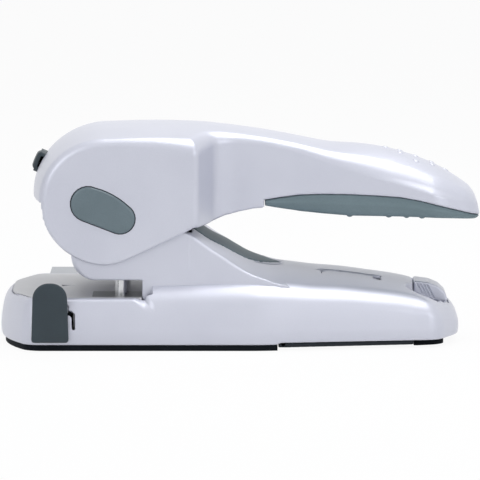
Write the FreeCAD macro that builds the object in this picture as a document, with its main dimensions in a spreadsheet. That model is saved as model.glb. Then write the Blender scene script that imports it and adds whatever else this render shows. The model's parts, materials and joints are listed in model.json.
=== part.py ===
"""A manual two-hole lever punch for the desk, built as an assembly of separate pieces.

Millimetres. X runs along the punch from the nose (-) to the end of the lever (+), Y across it (the near side
is -), and Z up. The origin is on the table top under the middle of the base.
"""
import FreeCAD, Part
import math
import os
import re
from FreeCAD import Placement, Rotation, Vector
from Sketcher import Constraint

doc = FreeCAD.newDocument("LeverPunch")
sheet = doc.addObject("Spreadsheet::Sheet", "Sizes")

SIZES = {
    # Paper, pins and dies
    "punch_x": (-67.7, "pins, along the punch"),
    "punch_pitch": (80, "centre to centre of the two holes"),
    "pin_radius": (3.5, "punch pin"),
    "running_gap": (0.06, "radial clearance of a running fit"),
    "table_top": (30, "height of the paper table"),
    "slot_gap": (9.4, "height of the paper slot"),
    "die_height": (6, "die insert"),
    "die_width": (26, "die insert, across the punch"),
    "paper_margin": (12.3, "from the hole centres to the paper stop"),
    "pin_to_frame": (9.5, "from a hole centre to the outside of the frame"),
    "tower_gap": (1.3, "between the frame and the tower's walls"),
    "hub_gap": (0.8, "between the tower and the head's side walls"),
    "flank": (12, "how far the base stands out beside the tower"),
    "end_narrowing": (16, "how much narrower the base is at its right end, each side"),
    "hub_reach": (28.4, "from the pivot to the front of the head"),
    "hub_height": (42, "from the pivot to the top of the lever"),
    "yoke_foot": (5.8, "solid part of a yoke below its slot"),
    # Base housing
    "skin": (2.5, "wall of the plastic housings"),
    "fit_gap": (0.3, "clearance between neighbouring pieces"),
    "rim": (5, "lower edge of the base housing"),
    "taper_start_x": (12, "where the base starts to narrow"),
    "draft": (7.5, "inward lean of the base walls in degrees"),
    "deck": (2.2, "floor under the paper table plate"),
    "table_plate": (1.6, "paper table plate"),
    "table_margin": (7, "rim left round the paper table plate"),
    "base_crown": (11.2, "rise of the base's top from edge to middle"),
    # Tower
    "tower_round": (14, "round at the lower front of the tower"),
    "tower_wall": (2.2, "wall of the tower"),
    "tower_end_x": (27, "end of the slope behind the tower"),
    "spine_half": (24, "half width of the dark strip"),
    # Steel frame
    "plate": (2.5, "frame plates"),
    "bottom_plate": (2, "bottom plate"),
    "frame_back_x": (-22, "back edge of the frame plates"),
    "pivot_radius": (4, "pivot axle"),
    "guide_height": (11.3, "guide block"),
    "bush_radius": (5.5, "outside of a guide bush"),
    "tie_radius": (3.5, "cross rods of the frame"),
    "screw_radius": (3.2, "screw heads"),
    "screw_head": (1.1, "height of a frame screw head"),
    # Lever
    "drive_radius": (3, "drive axle"),
    "roller_radius": (5, "drive roller"),
    "roller_shift": (1.9, "how far the rollers move along their slot"),
    "roller_gap": (0.3, "clearance above and below a roller"),
    "arm_inner": (22.5, "inner face of a lever arm"),
    "arm_plate": (2.5, "lever arm"),
    "hub_round": (36, "radius of the head's round front"),
    "hub_back": (-24, "back of the head"),
    "hub_crown": (5.4, "rise of the head's top from edge to middle"),
    "cheek": (2.2, "side walls of the head"),
    "palm_half": (33, "half width of the palm rest"),
    "tip_x": (139.3, "end of the lever"),
    "grip_start_x": (14.5, "front end of the grip insert"),
    "cap_proud": (0.8, "how far an oval cap stands out"),
    "cap_large": (10, "larger end of an oval cap"),
    # Punch bridge
    "bridge_height": (7.8, "bridge bar"),
    "bridge_width": (13, "bridge bar, along the punch"),
    "yoke_plate": (4, "yoke"),
    "spring_radius": (4.2, "return spring, to the middle of its wire"),
    "spring_wire": (0.8, "radius of the spring wire"),
    "spring_y": (11, "return springs, across the punch"),
    # Lock button
    "button_tilt": (23, "lean of the button's face in degrees"),
    "button_height": (13, "lock button"),
    "button_width": (14, "lock button, across"),
    "button_proud": (5, "how far the lock button stands out"),
    # Paper guide
    "guide_width": (16, "paper guide bar"),
    "guide_thick": (3, "paper guide bar"),
    "guide_far": (130, "far end of the paper guide bar"),
    "tab_width": (21.4, "guide tab"),
    "tab_bottom": (5.2, "bottom of the guide tab"),
    "tab_thick": (2.6, "guide tab"),
    # Underside
    "mat_end_x": (22, "right end of the rubber mat"),
    "mat_inset": (2.5, "mat inside the base's lower edge"),
    "door_hinge_z": (3.5, "chip door hinge, height"),
    "door_end_x": (100, "right end of the chip door"),
    "door_floor": (1.6, "lower face of the chip door"),
    "door_plate": (3, "chip door"),
    "knuckle_radius": (1.8, "chip door knuckles"),
    "door_pin_radius": (1, "chip door hinge pin"),
    # Spare parts lid
    "lid_left": (47.5, "lid opening, left"),
    "lid_right": (81.9, "lid opening, right"),
    "lid_near": (-22, "lid opening, near side"),
    "lid_far": (-10, "lid opening, far side"),
    "lid_plate": (2.4, "lid"),
    "lid_drop": (0.7, "lid below the surface round it"),
    # Latch
    "latch_half": (12, "half width of the chip door latch"),
    "pocket_half": (22, "half width of the pocket round the latch"),
    "pocket_depth": (7.5, "pocket round the latch, below the top"),
    "latch_travel": (3, "travel of the chip door latch"),
    "scoop_y": (24.5, "finger scoops, across the punch"),
    "scoop_radius": (13, "finger scoops"),
}
# Sizes that follow from the others: what seats on, fits in or lines up with another piece.
DERIVED = {
    "paper_stop_x": "punch_x + paper_margin",  # wall at the back of the paper slot
    "die_left": "punch_x - 16.3",  # left edge of a die insert
    "pivot_x": "punch_x - 18.4",  # lever pivot
    "drive_x": "punch_x - 0.2",  # drive axle
    "frame_front_x": "pivot_x - 6.5",  # front edge of the frame plates
    "tower_front_x": "frame_front_x - tower_wall - 1.2",  # front wall of the tower
    "hub_left": "pivot_x - hub_reach",  # front of the lever's head
    "guide_x": "tower_front_x - 11.8",  # middle of the guide tab
    "bar_left": "guide_x - 5.6",  # left edge of the paper guide bar
    "bar_right": "bar_left + guide_width",  # right edge of the paper guide bar
    "nose_x": "guide_x - 30.2",  # left end of the base at its lower edge
    "nose_corner_x": "nose_x + 16",  # corner of the nose
    "button_x": "hub_left + 2.2",  # middle of the lock button
    "frame_half": "punch_pitch / 2 + pin_to_frame",  # outer face of a frame plate
    "tower_half": "frame_half + tower_gap + tower_wall",  # half width of the tower
    "hub_half": "tower_half + hub_gap + cheek",  # half width of the lever's head
    "base_half": "tower_half + flank",  # half width of the base at its lower edge
    "nose_bow_half": "base_half - 35",  # half of the nose's front run
    "end_corner_half": "base_half - end_narrowing",  # half width at the corner of the right end
    "end_bow_half": "base_half - 43",  # half of the right end's last run
    "door_hinge_half": "base_half - 5.5",  # half width of the door at its hinge
    "door_end_half": "end_corner_half - 3",  # half width of the door at its end
    "foot_half": "end_corner_half - 10",  # half width of the end foot
    "yoke_half": "arm_inner - 3.1",  # outer face of a yoke
    "door_hinge_x": "mat_end_x + 3.2",  # chip door hinge
    "foot_end_x": "door_end_x + 18",  # right end of the end foot
    "end_x": "foot_end_x + 9",  # right end of the base at its lower edge
    "end_corner_x": "end_x - 11.5",  # corner of the right end
    "scoop_x": "door_end_x + 9",  # finger scoops beside the latch
    "base_edge": "table_top + 2.3",  # height of the base's upper edge beside the tower
    "scoop_z": "base_edge + 2.7",  # centre of the scoops' round, height
    "guide_z": "table_top - table_plate - deck - 0.5 - fit_gap - guide_thick",  # lower face of the paper guide bar
    "tab_top": "table_top + 9.3",  # top of the guide tab
    "guide_floor": "table_top + slot_gap + tower_wall + 0.1",  # lower face of the guide block
    "spring_seat": "guide_floor + 2.3",  # lower end of the return springs
    "bridge_floor": "guide_floor + guide_height + 3.2",  # lower face of the bridge bar
    "drive_z": "bridge_floor + bridge_height + yoke_foot + roller_radius + roller_gap",  # drive axle, height with the lever down
    "pivot_z": "drive_z + 8.5",  # lever pivot, height
    "pin_bottom": "table_top - 3.5",  # lower end of a pin with the lever down
    "pin_top": "bridge_floor + bridge_height + 3.6",  # upper end of a pin with the lever down
    "tower_top": "pivot_z + 8.4",  # top of the tower's front wall
    "hub_top": "pivot_z + hub_height",  # top of the lever
    "hub_low": "pivot_z - 53.5",  # where the head's front and lower edges would meet
    "hub_back_low": "pivot_z - 13.1",  # lower end of the head's back
    "lip_z": "pivot_z + 0.4",  # lower edge of the head's front wall
    "button_z": "pivot_z + 18.2",  # middle of the lock button, height
    "neck_half": "arm_inner + arm_plate + skin + 1",  # half width of the lever behind the head
    "cap_small": "cap_large - 1.4",  # smaller end of an oval cap
}

for row, (alias, (size, meaning)) in enumerate(SIZES.items(), start=1):
    sheet.set(f"A{row}", meaning)
    sheet.set(f"B{row}", str(size))
    sheet.setAlias(f"B{row}", alias)
doc.recompute()

ALONG = {
    "X": Rotation(Vector(0, 0, 1), Vector(1, 0, 0)),
    "Y": Rotation(Vector(0, 0, 1), Vector(0, 1, 0)),
    "Z": Rotation(),
}


def formula(text):
    """An expression for FreeCAD, with each derived size spelled out and each alias of the sheet in full."""
    def spelled(word):
        if word[0] in DERIVED:
            return "(" + formula(DERIVED[word[0]]) + ")"
        return "Sizes." + word[0] if word[0] in SIZES else word[0]
    return re.sub(r"[a-z_]+", spelled, str(text))


def value(text):
    """The number that an expression stands for."""
    return float(sheet.evalExpression(formula(text)))


def bind(thing, **sizes):
    """Tie properties of an object to expressions."""
    for name, text in sizes.items():
        thing.setExpression(name, formula(text))
    return thing


def place(thing, x, y, z, along="Z"):
    """Put an object's own origin at a point given by three expressions."""
    thing.Placement = Placement(Vector(), ALONG[along])
    for axis, text in zip("xyz", (x, y, z)):
        thing.setExpression("Placement.Base." + axis, formula(text))
    return thing


def box(name, x, y, z):
    """A block between two limits on each axis."""
    block = doc.addObject("Part::Box", name)
    bind(block, Length=f"{x[1]} - ({x[0]})", Width=f"{y[1]} - ({y[0]})", Height=f"{z[1]} - ({z[0]})")
    return place(block, x[0], y[0], z[0])


def rod(name, along, start, radius, length):
    """A round bar from a point along one axis."""
    bar = doc.addObject("Part::Cylinder", name)
    bind(bar, Radius=radius, Height=length)
    return place(bar, *start, along=along)


def cross_rod(name, x, z, radius, half):
    """A round bar across the punch, from -half to +half."""
    return rod(name, "Y", (x, f"-({half})", z), radius, f"2 * ({half})")


def fuse(name, pieces):
    whole = doc.addObject("Part::MultiFuse", name)
    whole.Shapes = pieces
    return whole


def common(name, pieces):
    shared = doc.addObject("Part::MultiCommon", name)
    shared.Shapes = pieces
    return shared


def cut(name, piece, tools):
    """Take one or more tools away from a piece."""
    rest = doc.addObject("Part::Cut", name)
    rest.Base = piece
    rest.Tool = tools[0] if len(tools) == 1 else fuse(name + "_tools", tools)
    return rest


def group(name, pieces):
    """Separate solids that share one node."""
    together = doc.addObject("Part::Compound", name)
    together.Links = pieces
    return together


def mirrored(name, piece):
    """The same piece on the far side."""
    twin = doc.addObject("Part::Mirroring", name)
    twin.Source = piece
    twin.Normal = Vector(0, 1, 0)
    return twin


def pair(name, near):
    """A near piece and its far twin in one node."""
    return group(name, [near, mirrored(name + "_far_twin", near)])


def sketch(body, name, role, offset):
    """A sketch on one of a body's origin planes, moved along the plane's normal."""
    plane = next(item for item in body.Origin.OriginFeatures if item.Role == role)
    drawn = body.newObject("Sketcher::SketchObject", name)
    drawn.AttachmentSupport = [(plane, "")]
    drawn.MapMode = "FlatFace"
    drawn.setExpression("AttachmentOffset.Base.z", formula(offset))
    return drawn


def fix_point(drawn, ends, x, y):
    """Hold a point of a sketch at two expressions."""
    for kind, text in (("DistanceX", x), ("DistanceY", y)):
        number = drawn.addConstraint(Constraint(kind, -1, 1, *ends, value(text)))
        drawn.setExpression(f"Constraints[{number}]", formula(text))


def outline(drawn, corners):
    """A closed loop of straight runs; each corner is (x, y) or, if it is rounded, (x, y, radius)."""
    points = [Vector(value(corner[0]), value(corner[1]), 0) for corner in corners]
    begins, ends, arcs = [], [], {}
    for place_in_loop, corner in enumerate(corners):
        point = points[place_in_loop]
        if len(corner) == 2:
            begins.append(point)
            ends.append(point)
            continue
        back = (points[place_in_loop - 1] - point).normalize()
        ahead = (points[(place_in_loop + 1) % len(points)] - point).normalize()
        radius = value(corner[2])
        half = back.getAngle(ahead) / 2
        reach = radius / math.tan(half)
        middle = point + (back + ahead).normalize() * (radius / math.sin(half) - radius)
        begins.append(point + back * reach)
        ends.append(point + ahead * reach)
        arcs[place_in_loop] = Part.Arc(begins[-1], middle, ends[-1])
    lines = []
    for place_in_loop in range(len(points)):
        following = (place_in_loop + 1) % len(points)
        lines.append(drawn.addGeometry(Part.LineSegment(ends[place_in_loop], begins[following]), False))
    for place_in_loop, corner in enumerate(corners):
        before, after = lines[place_in_loop - 1], lines[place_in_loop]
        if place_in_loop not in arcs:
            drawn.addConstraint(Constraint("Coincident", before, 2, after, 1))
            fix_point(drawn, (after, 1), corner[0], corner[1])
            continue
        arc = drawn.addGeometry(arcs[place_in_loop], False)
        first = 1 if drawn.getPoint(arc, 1).distanceToPoint(begins[place_in_loop]) < 1e-6 else 2
        apex = drawn.addGeometry(Part.Point(points[place_in_loop]), True)
        drawn.addConstraint([
            Constraint("Tangent", before, 2, arc, first),
            Constraint("Tangent", arc, 3 - first, after, 1),
            Constraint("PointOnObject", apex, 1, before),
            Constraint("PointOnObject", apex, 1, after),
        ])
        fix_point(drawn, (apex, 1), corner[0], corner[1])
        number = drawn.addConstraint(Constraint("Radius", arc, value(corner[2])))
        drawn.setExpression(f"Constraints[{number}]", formula(corner[2]))
    return drawn


def hole(drawn, x, y, radius):
    """A round hole in a sketch."""
    circle = drawn.addGeometry(Part.Circle(Vector(value(x), value(y), 0), Vector(0, 0, 1), value(radius)), False)
    fix_point(drawn, (circle, 3), x, y)
    number = drawn.addConstraint(Constraint("Radius", circle, value(radius)))
    drawn.setExpression(f"Constraints[{number}]", formula(radius))


def plate(name, role, corners, start, length, holes=(), taper="0"):
    """A flat piece: an outline on an origin plane, padded along the plane's normal."""
    body = doc.addObject("PartDesign::Body", name)
    drawn = outline(sketch(body, name + "_outline", role, start), corners)
    for one in holes:
        hole(drawn, *one)
    pad = body.newObject("PartDesign::Pad", name + "_pad")
    pad.Profile = drawn
    bind(pad, Length=length, TaperAngle=taper)
    return body


def upright(name, corners, low, high, holes=()):
    """A plate drawn from the side (X, Z), between two places across the punch."""
    return plate(name, "XZ_Plane", corners, f"-({high})", f"{high} - ({low})", holes)


def level(name, corners, low, high, holes=(), taper="0"):
    """A plate drawn from above (X, Y), between two heights."""
    return plate(name, "XY_Plane", corners, low, f"{high} - ({low})", holes, taper)


def crowned(name, stations):
    """A bar along X with a crowned top, through stations of (x, half width, floor, edge height, crown height)."""
    body = doc.addObject("PartDesign::Body", name)
    sections = []
    for number, (x, half, floor, edge, crown) in enumerate(stations):
        drawn = sketch(body, f"{name}_{number}", "YZ_Plane", x)
        near_low = Vector(-value(half), value(floor), 0)
        far_low = Vector(value(half), value(floor), 0)
        near_high = Vector(-value(half), value(edge), 0)
        far_high = Vector(value(half), value(edge), 0)
        bottom = drawn.addGeometry(Part.LineSegment(near_low, far_low), False)
        far = drawn.addGeometry(Part.LineSegment(far_low, far_high), False)
        top = drawn.addGeometry(Part.Arc(far_high, Vector(0, value(crown), 0), near_high), False)
        near = drawn.addGeometry(Part.LineSegment(near_high, near_low), False)
        drawn.addConstraint([
            Constraint("Coincident", bottom, 2, far, 1),
            Constraint("Coincident", far, 2, top, 1),
            Constraint("Coincident", top, 2, near, 1),
            Constraint("Coincident", near, 2, bottom, 1),
        ])
        fix_point(drawn, (bottom, 1), f"-({half})", floor)
        fix_point(drawn, (bottom, 2), half, floor)
        fix_point(drawn, (far, 2), half, edge)
        fix_point(drawn, (near, 1), f"-({half})", edge)
        rise = f"(({crown}) - ({edge}))"
        radius = f"(({half}) * ({half}) + {rise} * {rise}) / (2 * {rise})"
        number = drawn.addConstraint(Constraint("Radius", top, value(radius)))
        drawn.setExpression(f"Constraints[{number}]", formula(radius))
        sections.append(drawn)
    loft = body.newObject("PartDesign::AdditiveLoft", name + "_loft")
    loft.Profile = sections[0]
    loft.Sections = sections[1:]
    loft.Ruled = True
    return body


def round_over(name, piece, radius, wanted):
    """Round the edges of a piece whose middle point passes a test."""
    doc.recompute()
    edges = []
    for number, edge in enumerate(piece.Shape.Edges, start=1):
        middle = edge.valueAt((edge.FirstParameter + edge.LastParameter) / 2)
        if wanted(middle, edge):
            edges.append((number, value(radius), value(radius)))
    rounded = doc.addObject("Part::Fillet", name)
    rounded.Base = piece
    rounded.Edges = edges
    return rounded


# --- Forms that several pieces share ---------------------------------------------------------------------------

# The base's top: share of the way from the slope to the chip door's end, and how far the top has fallen there
BASE_FALL = ((0, 0), (0.2, 1.9), (0.42, 3.1), (0.66, 5.4), (0.89, 7.9), (1.014, 9.9), (1.137, 13.4), (1.26, 20.4),
             (1.425, 33))
# The slope behind the tower: place, and the heights of edge and middle above the base's edge
SLOPE = ((-27, 33.2, 34.7), (-16.8, 25.7, 27.9), (-8, 19.9, 23.9), (6.3, 10.8, 16.3), (15, 7.5, 13.3))


def base_corners(inset):
    """The base seen from above at its lower edge, drawn in by an inset."""
    half = f"base_half - {inset}"
    end_half = f"end_corner_half - {inset}"
    near_side = [
        (f"nose_x + {inset}", "-nose_bow_half", "110"),
        (f"nose_corner_x + {inset} * 0.6", f"-({half})", "13"),
        ("taper_start_x", f"-({half})", "80"),
        (f"end_corner_x - {inset} * 0.4", f"-({end_half})", "13"),
        (f"end_x - {inset}", "-end_bow_half", "35"),
    ]
    far_side = [(x, y[1:], radius) for x, y, radius in reversed(near_side)]
    return near_side + far_side


def base_top(name, drop):
    """Everything under the crowned top of the base, from the paper stop to the right end, lowered by a drop."""
    half = "base_half + 2"
    stations = [("paper_stop_x", half, "0", f"base_edge - {drop}", f"base_edge + base_crown - {drop}")]
    for share, fall in BASE_FALL:
        edge = f"base_edge - {fall} - {drop}"
        stations.append((f"tower_end_x + {share} * (door_end_x - tower_end_x)", half, "0", edge, f"{edge} + base_crown"))
    return crowned(name, stations)


def slope(name, half, drop, back):
    """Everything under the crowned slope behind the tower, lowered by a drop."""
    stations = [(x, half, "table_top", f"base_edge + {edge} - {drop}", f"base_edge + {crown} - {drop}")
                for x, edge, crown in SLOPE]
    stations.append((back, half, "table_top", f"base_edge + 4.7 - {drop}", f"base_edge + base_crown - {drop}"))
    return crowned(name, stations)


# --- Base ------------------------------------------------------------------------------------------------------

def make_base_housing():
    """Silver body: a drafted plan, a flat table part and a crowned high part, hollow from below."""
    plan = level("base_plan", base_corners("0"), "rim", "rim + 45", taper="-draft")
    table = box("base_table", ("nose_x - 5", "paper_stop_x + 2"), ("-80", "80"), ("0", "table_top"))
    high = base_top("base_high", "0")
    outer = common("base_outer", [plan, fuse("base_blocks", [table, high])])
    inner_plan = level("base_inner_plan", base_corners("skin"), "rim - 1", "rim + 44", taper="-draft")
    deck_low = "table_top - table_plate - deck"
    inner_table = box("base_inner_table", ("nose_x", "paper_stop_x + skin + 1"), ("-80", "80"), ("0", deck_low))
    inner_high = cut("base_inner_high", base_top("base_inner_top", "skin"),
                     [box("base_stop_wall", ("paper_stop_x - 1", "paper_stop_x + skin"), ("-80", "80"),
                          ("-1", "80"))])
    inner = common("base_inner", [inner_plan, fuse("base_inner_blocks", [inner_table, inner_high])])
    bowls = [scoop(f"scoop_bowl_{side}", side, "scoop_radius + skin") for side in ("near", "far")]
    hollow = cut("base_hollow", inner, bowls + [latch_guide("latch_guide_block", "skin"), pocket("pocket_wall", "skin")])
    openings = [
        hollow,
        level("table_recess", table_corners("0"), "table_top - table_plate", "table_top + 5"),
        box("tower_window", ("paper_stop_x - 1", "tower_end_x + fit_gap"),
            ("-tower_half - fit_gap", "tower_half + fit_gap"), ("table_top", "90")),
        box("guide_window", ("bar_left - 0.5", "bar_right + 0.5"),
            ("-80", "80"), ("guide_z - 0.5", "guide_z + guide_thick + 0.5")),
        box("release_slot", ("guide_x + tab_width / 2 + 1.5", "guide_x + tab_width / 2 + 3.2"),
            ("-80", "-base_half + 12"), ("guide_z - 10", "guide_z + 0.8")),
        box("release_slot_top", ("guide_x + tab_width / 2 - 2", "guide_x + tab_width / 2 + 3.2"),
            ("-80", "-base_half + 12"), ("guide_z - 2", "guide_z + 0.8")),
        box("lid_window", ("lid_left", "lid_right"), ("lid_near", "lid_far"), ("10", "80")),
        lid_bore("base_lid_bore"),
        latch_slot("latch_slot"),
        pocket("pocket", "0"),
    ]
    openings += die_holes("die_window", "0", "table_top - die_height - 1", "table_top + 1")
    openings += [scoop(f"scoop_{side}", side, "scoop_radius") for side in ("near", "far")]
    shell = cut("base_shell", outer, openings)
    ledges = [box("end_floor", ("door_end_x + 1", "foot_end_x + 1"), ("-foot_half - 1", "foot_half + 1"),
                  ("rim", "rim + skin"))]
    ledges += [box("tower_ledge_near", ("paper_stop_x", "tower_end_x + 3"), ("-80", "-frame_half - 0.3"),
                   ("table_top - skin", "table_top")),
               box("tower_ledge_far", ("paper_stop_x", "tower_end_x + 3"), ("frame_half + 0.3", "80"),
                   ("table_top - skin", "table_top")),
               box("tower_ledge_end", ("tower_end_x - 4", "tower_end_x + 3"), ("-80", "80"),
                   ("table_top - skin", "table_top"))]
    inside = common("base_ledges", [fuse("base_ledge_blanks", ledges), outer])
    posts = [rod(f"base_post_{n}", "Z", (x, y, "rim + bottom_plate"), "3.4", top + " - rim - bottom_plate")
             for n, (x, y, top) in enumerate(BASE_SCREWS)]
    pilot = [rod(f"base_pilot_{n}", "Z", (x, y, "rim"), "1.5", "14") for n, (x, y, top) in enumerate(BASE_SCREWS)]
    return cut("base_housing", fuse("base_with_posts", [shell, inside] + posts), pilot)


LID_PIN = ("lid_right - 4.3", "base_edge + base_crown - 11.7")
BASE_SCREWS = (("nose_corner_x - 3", "-38", "table_top - 3"), ("nose_corner_x - 3", "38", "table_top - 3"),
               ("taper_start_x + 4", "-base_half + 7.7", "table_top"), ("taper_start_x + 4", "base_half - 7.7", "table_top"))


def scoop(name, side, radius):
    """One of the two finger scoops beside the latch."""
    ball = doc.addObject("Part::Sphere", name)
    bind(ball, Radius=radius)
    return place(ball, "scoop_x", "-scoop_y" if side == "near" else "scoop_y", "scoop_z")


def lid_bore(name):
    """The bores for the lid's two stub pins."""
    return rod(name, "Y", (LID_PIN[0], "lid_near - 1.4", LID_PIN[1]), "0.8", "lid_far - lid_near + 2.8")


def pocket(name, wall):
    """The pocket round the latch, whose floor follows the base's top."""
    block = box(f"{name}_block", (f"door_end_x + 0.4 - {wall}", f"door_end_x + 18.4 + {wall}"),
                (f"-pocket_half - {wall}", f"pocket_half + {wall}"), ("rim + skin", "80"))
    return cut(name, block, [base_top(f"{name}_floor", f"(pocket_depth + {wall})")])


def latch_slot(name):
    """The slot that the latch's stem moves in."""
    return box(name, ("door_end_x + 3", "door_end_x + 9 + latch_travel"), ("-8.3", "8.3"), ("rim + skin", "80"))


def latch_guide(name, wall):
    """The block round the latch's slot."""
    return box(name, (f"door_end_x + 3 - {wall}", f"door_end_x + 9 + latch_travel + {wall}"),
               (f"-8.3 - {wall}", f"8.3 + {wall}"), ("rim + 13", "80"))


def table_corners(inset):
    """The paper table plate, seen from above."""
    margin = f"(table_margin + {inset})"
    return [
        (f"paper_stop_x - {inset}", f"base_half - {margin}"),
        (f"nose_corner_x + {margin} * 0.6", f"base_half - {margin}", "10"),
        (f"nose_x + {margin}", "nose_bow_half - 4", "60"),
        (f"nose_x + {margin}", "-nose_bow_half + 4", "60"),
        (f"nose_corner_x + {margin} * 0.6", f"-base_half + {margin}", "10"),
        (f"paper_stop_x - {inset}", f"-base_half + {margin}"),
    ]


def die_holes(name, gap, low, high):
    """The places of the two die inserts, as tools."""
    x = (f"die_left - {gap}", f"paper_stop_x - 0.5 + {gap}")
    near = (f"-punch_pitch / 2 - die_width / 2 - {gap}", f"-punch_pitch / 2 + die_width / 2 + {gap}")
    far = (f"punch_pitch / 2 - die_width / 2 - {gap}", f"punch_pitch / 2 + die_width / 2 + {gap}")
    return [box(name + "_near", x, near, (low, high)), box(name + "_far", x, far, (low, high))]


def at_pins(name, radius, low, high):
    """A round bar or tool at each punch pin."""
    return [rod(f"{name}_{side}", "Z", ("punch_x", y, low), radius, f"{high} - ({low})")
            for side, y in (("near", "-punch_pitch / 2"), ("far", "punch_pitch / 2"))]


def make_paper_table():
    plate_blank = level("table_blank", table_corners("0.25"), "table_top - table_plate", "table_top")
    mark = level("table_mark", [("-103", "-3.5"), ("-95", "0"), ("-103", "3.5")], "table_top - 0.6", "table_top + 1")
    tools = die_holes("table_die", "0", "table_top - table_plate - 1", "table_top + 1")
    return cut("paper_table", plate_blank, tools + [mark])


def make_die_inserts():
    blanks = die_holes("die_blank", "-0.15", "table_top - die_height", "table_top")
    bores = at_pins("die_bore", "pin_radius + running_gap", "0", "table_top + 1")
    return cut("die_inserts", fuse("die_blanks", blanks), bores)


def make_tower_housing():
    """Silver cover of the punch frame, with a front that overhangs the paper slot, open at the top."""
    slot_top = "table_top + slot_gap"
    front = upright("tower_front", [
        ("tower_front_x", slot_top, "tower_round"),
        ("tower_front_x", "tower_top", "4"),
        ("pivot_x + 12", "tower_top", "8"),
        ("-57", "pivot_z - 0.6", "8"),
        ("-27", "base_edge + 33.2"),
        ("-27", "table_top"),
        ("paper_stop_x", "table_top"),
        ("paper_stop_x", slot_top),
    ], "-tower_half", "tower_half")
    outer = fuse("tower_outer", [front, slope("tower_slope", "tower_half", "0", "tower_end_x")])
    inner_front = upright("tower_inner_front", [
        ("tower_front_x + tower_wall", f"{slot_top} + tower_wall", "tower_round - tower_wall"),
        ("tower_front_x + tower_wall", "tower_top + 20"),
        ("-27", "tower_top + 20"),
        ("-27", "table_top - 2"),
        ("paper_stop_x + tower_wall", "table_top - 2"),
        ("paper_stop_x + tower_wall", f"{slot_top} + tower_wall"),
    ], "-tower_half + tower_wall", "tower_half - tower_wall")
    inner_slope = slope("tower_inner_slope", "tower_half - tower_wall", "tower_wall", "tower_end_x - tower_wall")
    below = box("tower_inner_foot", ("-29", "tower_end_x - tower_wall"),
                ("-tower_half + tower_wall", "tower_half - tower_wall"), ("table_top - 2", "table_top + 1"))
    strip = spine_plan("spine_window", "fit_gap")
    pins = at_pins("tower_pin", "pin_radius + 1.5", "table_top + 1", "60")
    return cut("tower_housing", outer, [inner_front, inner_slope, below, strip] + pins)


def spine_plan(name, gap):
    """The dark strip's place from above: straight sides and a blunt point at the foot of the slope."""
    half = f"(spine_half + {gap})"
    return level(name, [(f"-26.2 - {gap}", f"-{half}"), ("4", f"-{half}", "14"), (f"25.5 + {gap} * 1.3", "0", "5"),
                        ("4", half, "14"), (f"-26.2 - {gap}", half)], "table_top", "80")


def make_slope_spine():
    """Dark strip that fills the window in the slope."""
    stations = ((-27, 28.2, 35.2, 36.6), (-16.8, 22.2, 29.3, 30.5), (-8, 16.7, 24.1, 25.5), (6.3, 9.2, 16.9, 18.5),
                (14.7, 6.2, 13.7, 15.3), (26, 4.2, 10, 11.2))
    bar = crowned("spine_bar", [(x, "spine_half", f"base_edge + {low}", f"base_edge + {edge}", f"base_edge + {top}")
                                for x, low, edge, top in stations])
    return common("slope_spine", [bar, spine_plan("spine_plan", "0")])


def make_frame_plate(name, low, high):
    """Steel C plate: a lower jaw under the table, a back, and an upper jaw with the pivot's eye."""
    ear = "6.4"
    return upright(name, [
        ("frame_front_x", "guide_floor", "tower_round - tower_wall"),
        ("frame_front_x", f"pivot_z + {ear}", "6.2"),
        (f"pivot_x + {ear}", f"pivot_z + {ear}", "6.2"),
        (f"pivot_x + {ear}", "pivot_z - 5", "3"),
        ("-42", "pivot_z - 17.6", "10"),
        ("-28", "pivot_z - 24.6", "6"),
        ("frame_back_x", "pivot_z - 33.6", "5"),
        ("frame_back_x", "rim + bottom_plate"),
        ("frame_front_x - 2.4", "rim + bottom_plate"),
        ("frame_front_x - 2.4", "table_top - die_height", "2"),
        ("paper_stop_x + 2.6", "table_top - die_height"),
        ("paper_stop_x + 2.6", "guide_floor"),
    ], low, high, holes=[("pivot_x", "pivot_z", "pivot_radius")] + [(x, z, "tie_radius") for x, z in TIES])


TIES = (("frame_back_x - 11", "rim + 11"), ("frame_back_x - 11", "guide_floor + 4.3"))


def make_frame():
    inner = "frame_half - plate"
    near = make_frame_plate("frame_plate_near", "-frame_half", f"-({inner})")
    far = make_frame_plate("frame_plate_far", inner, "frame_half")
    floor = level("frame_base", [("frame_front_x - 2.4", f"-({inner})"), ("frame_back_x - 2", f"-({inner})"),
                                   ("frame_back_x - 2", inner), ("frame_front_x - 2.4", inner)],
                  "table_top - die_height - plate", "table_top - die_height",
                  holes=[("punch_x", "-punch_pitch / 2", "pin_radius + 1"),
                         ("punch_x", "punch_pitch / 2", "pin_radius + 1")])
    ties = group("frame_spacers", [cross_rod(f"tie_{n}", x, z, "tie_radius", "frame_half")
                                   for n, (x, z) in enumerate(TIES)])
    near_screws = group("near_screws", [rod(f"tie_screw_{n}", "Y", (x, "-frame_half - screw_head", z),
                                            "screw_radius + 2", "screw_head") for n, (x, z) in enumerate(TIES)])
    screws = pair("frame_screws", near_screws)
    axle = cross_rod("pivot_axle", "pivot_x", "pivot_z", "pivot_radius", "frame_half + 0.9")
    clip = cut("near_clip", rod("clip_disc", "Y", ("pivot_x", "-frame_half - 0.8", "pivot_z"), "6", "0.8"),
               [cross_rod("clip_bore", "pivot_x", "pivot_z", "pivot_radius", "80")])
    clips = pair("axle_clips", clip)
    return [near, far, floor, ties, screws, axle, clips]


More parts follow.
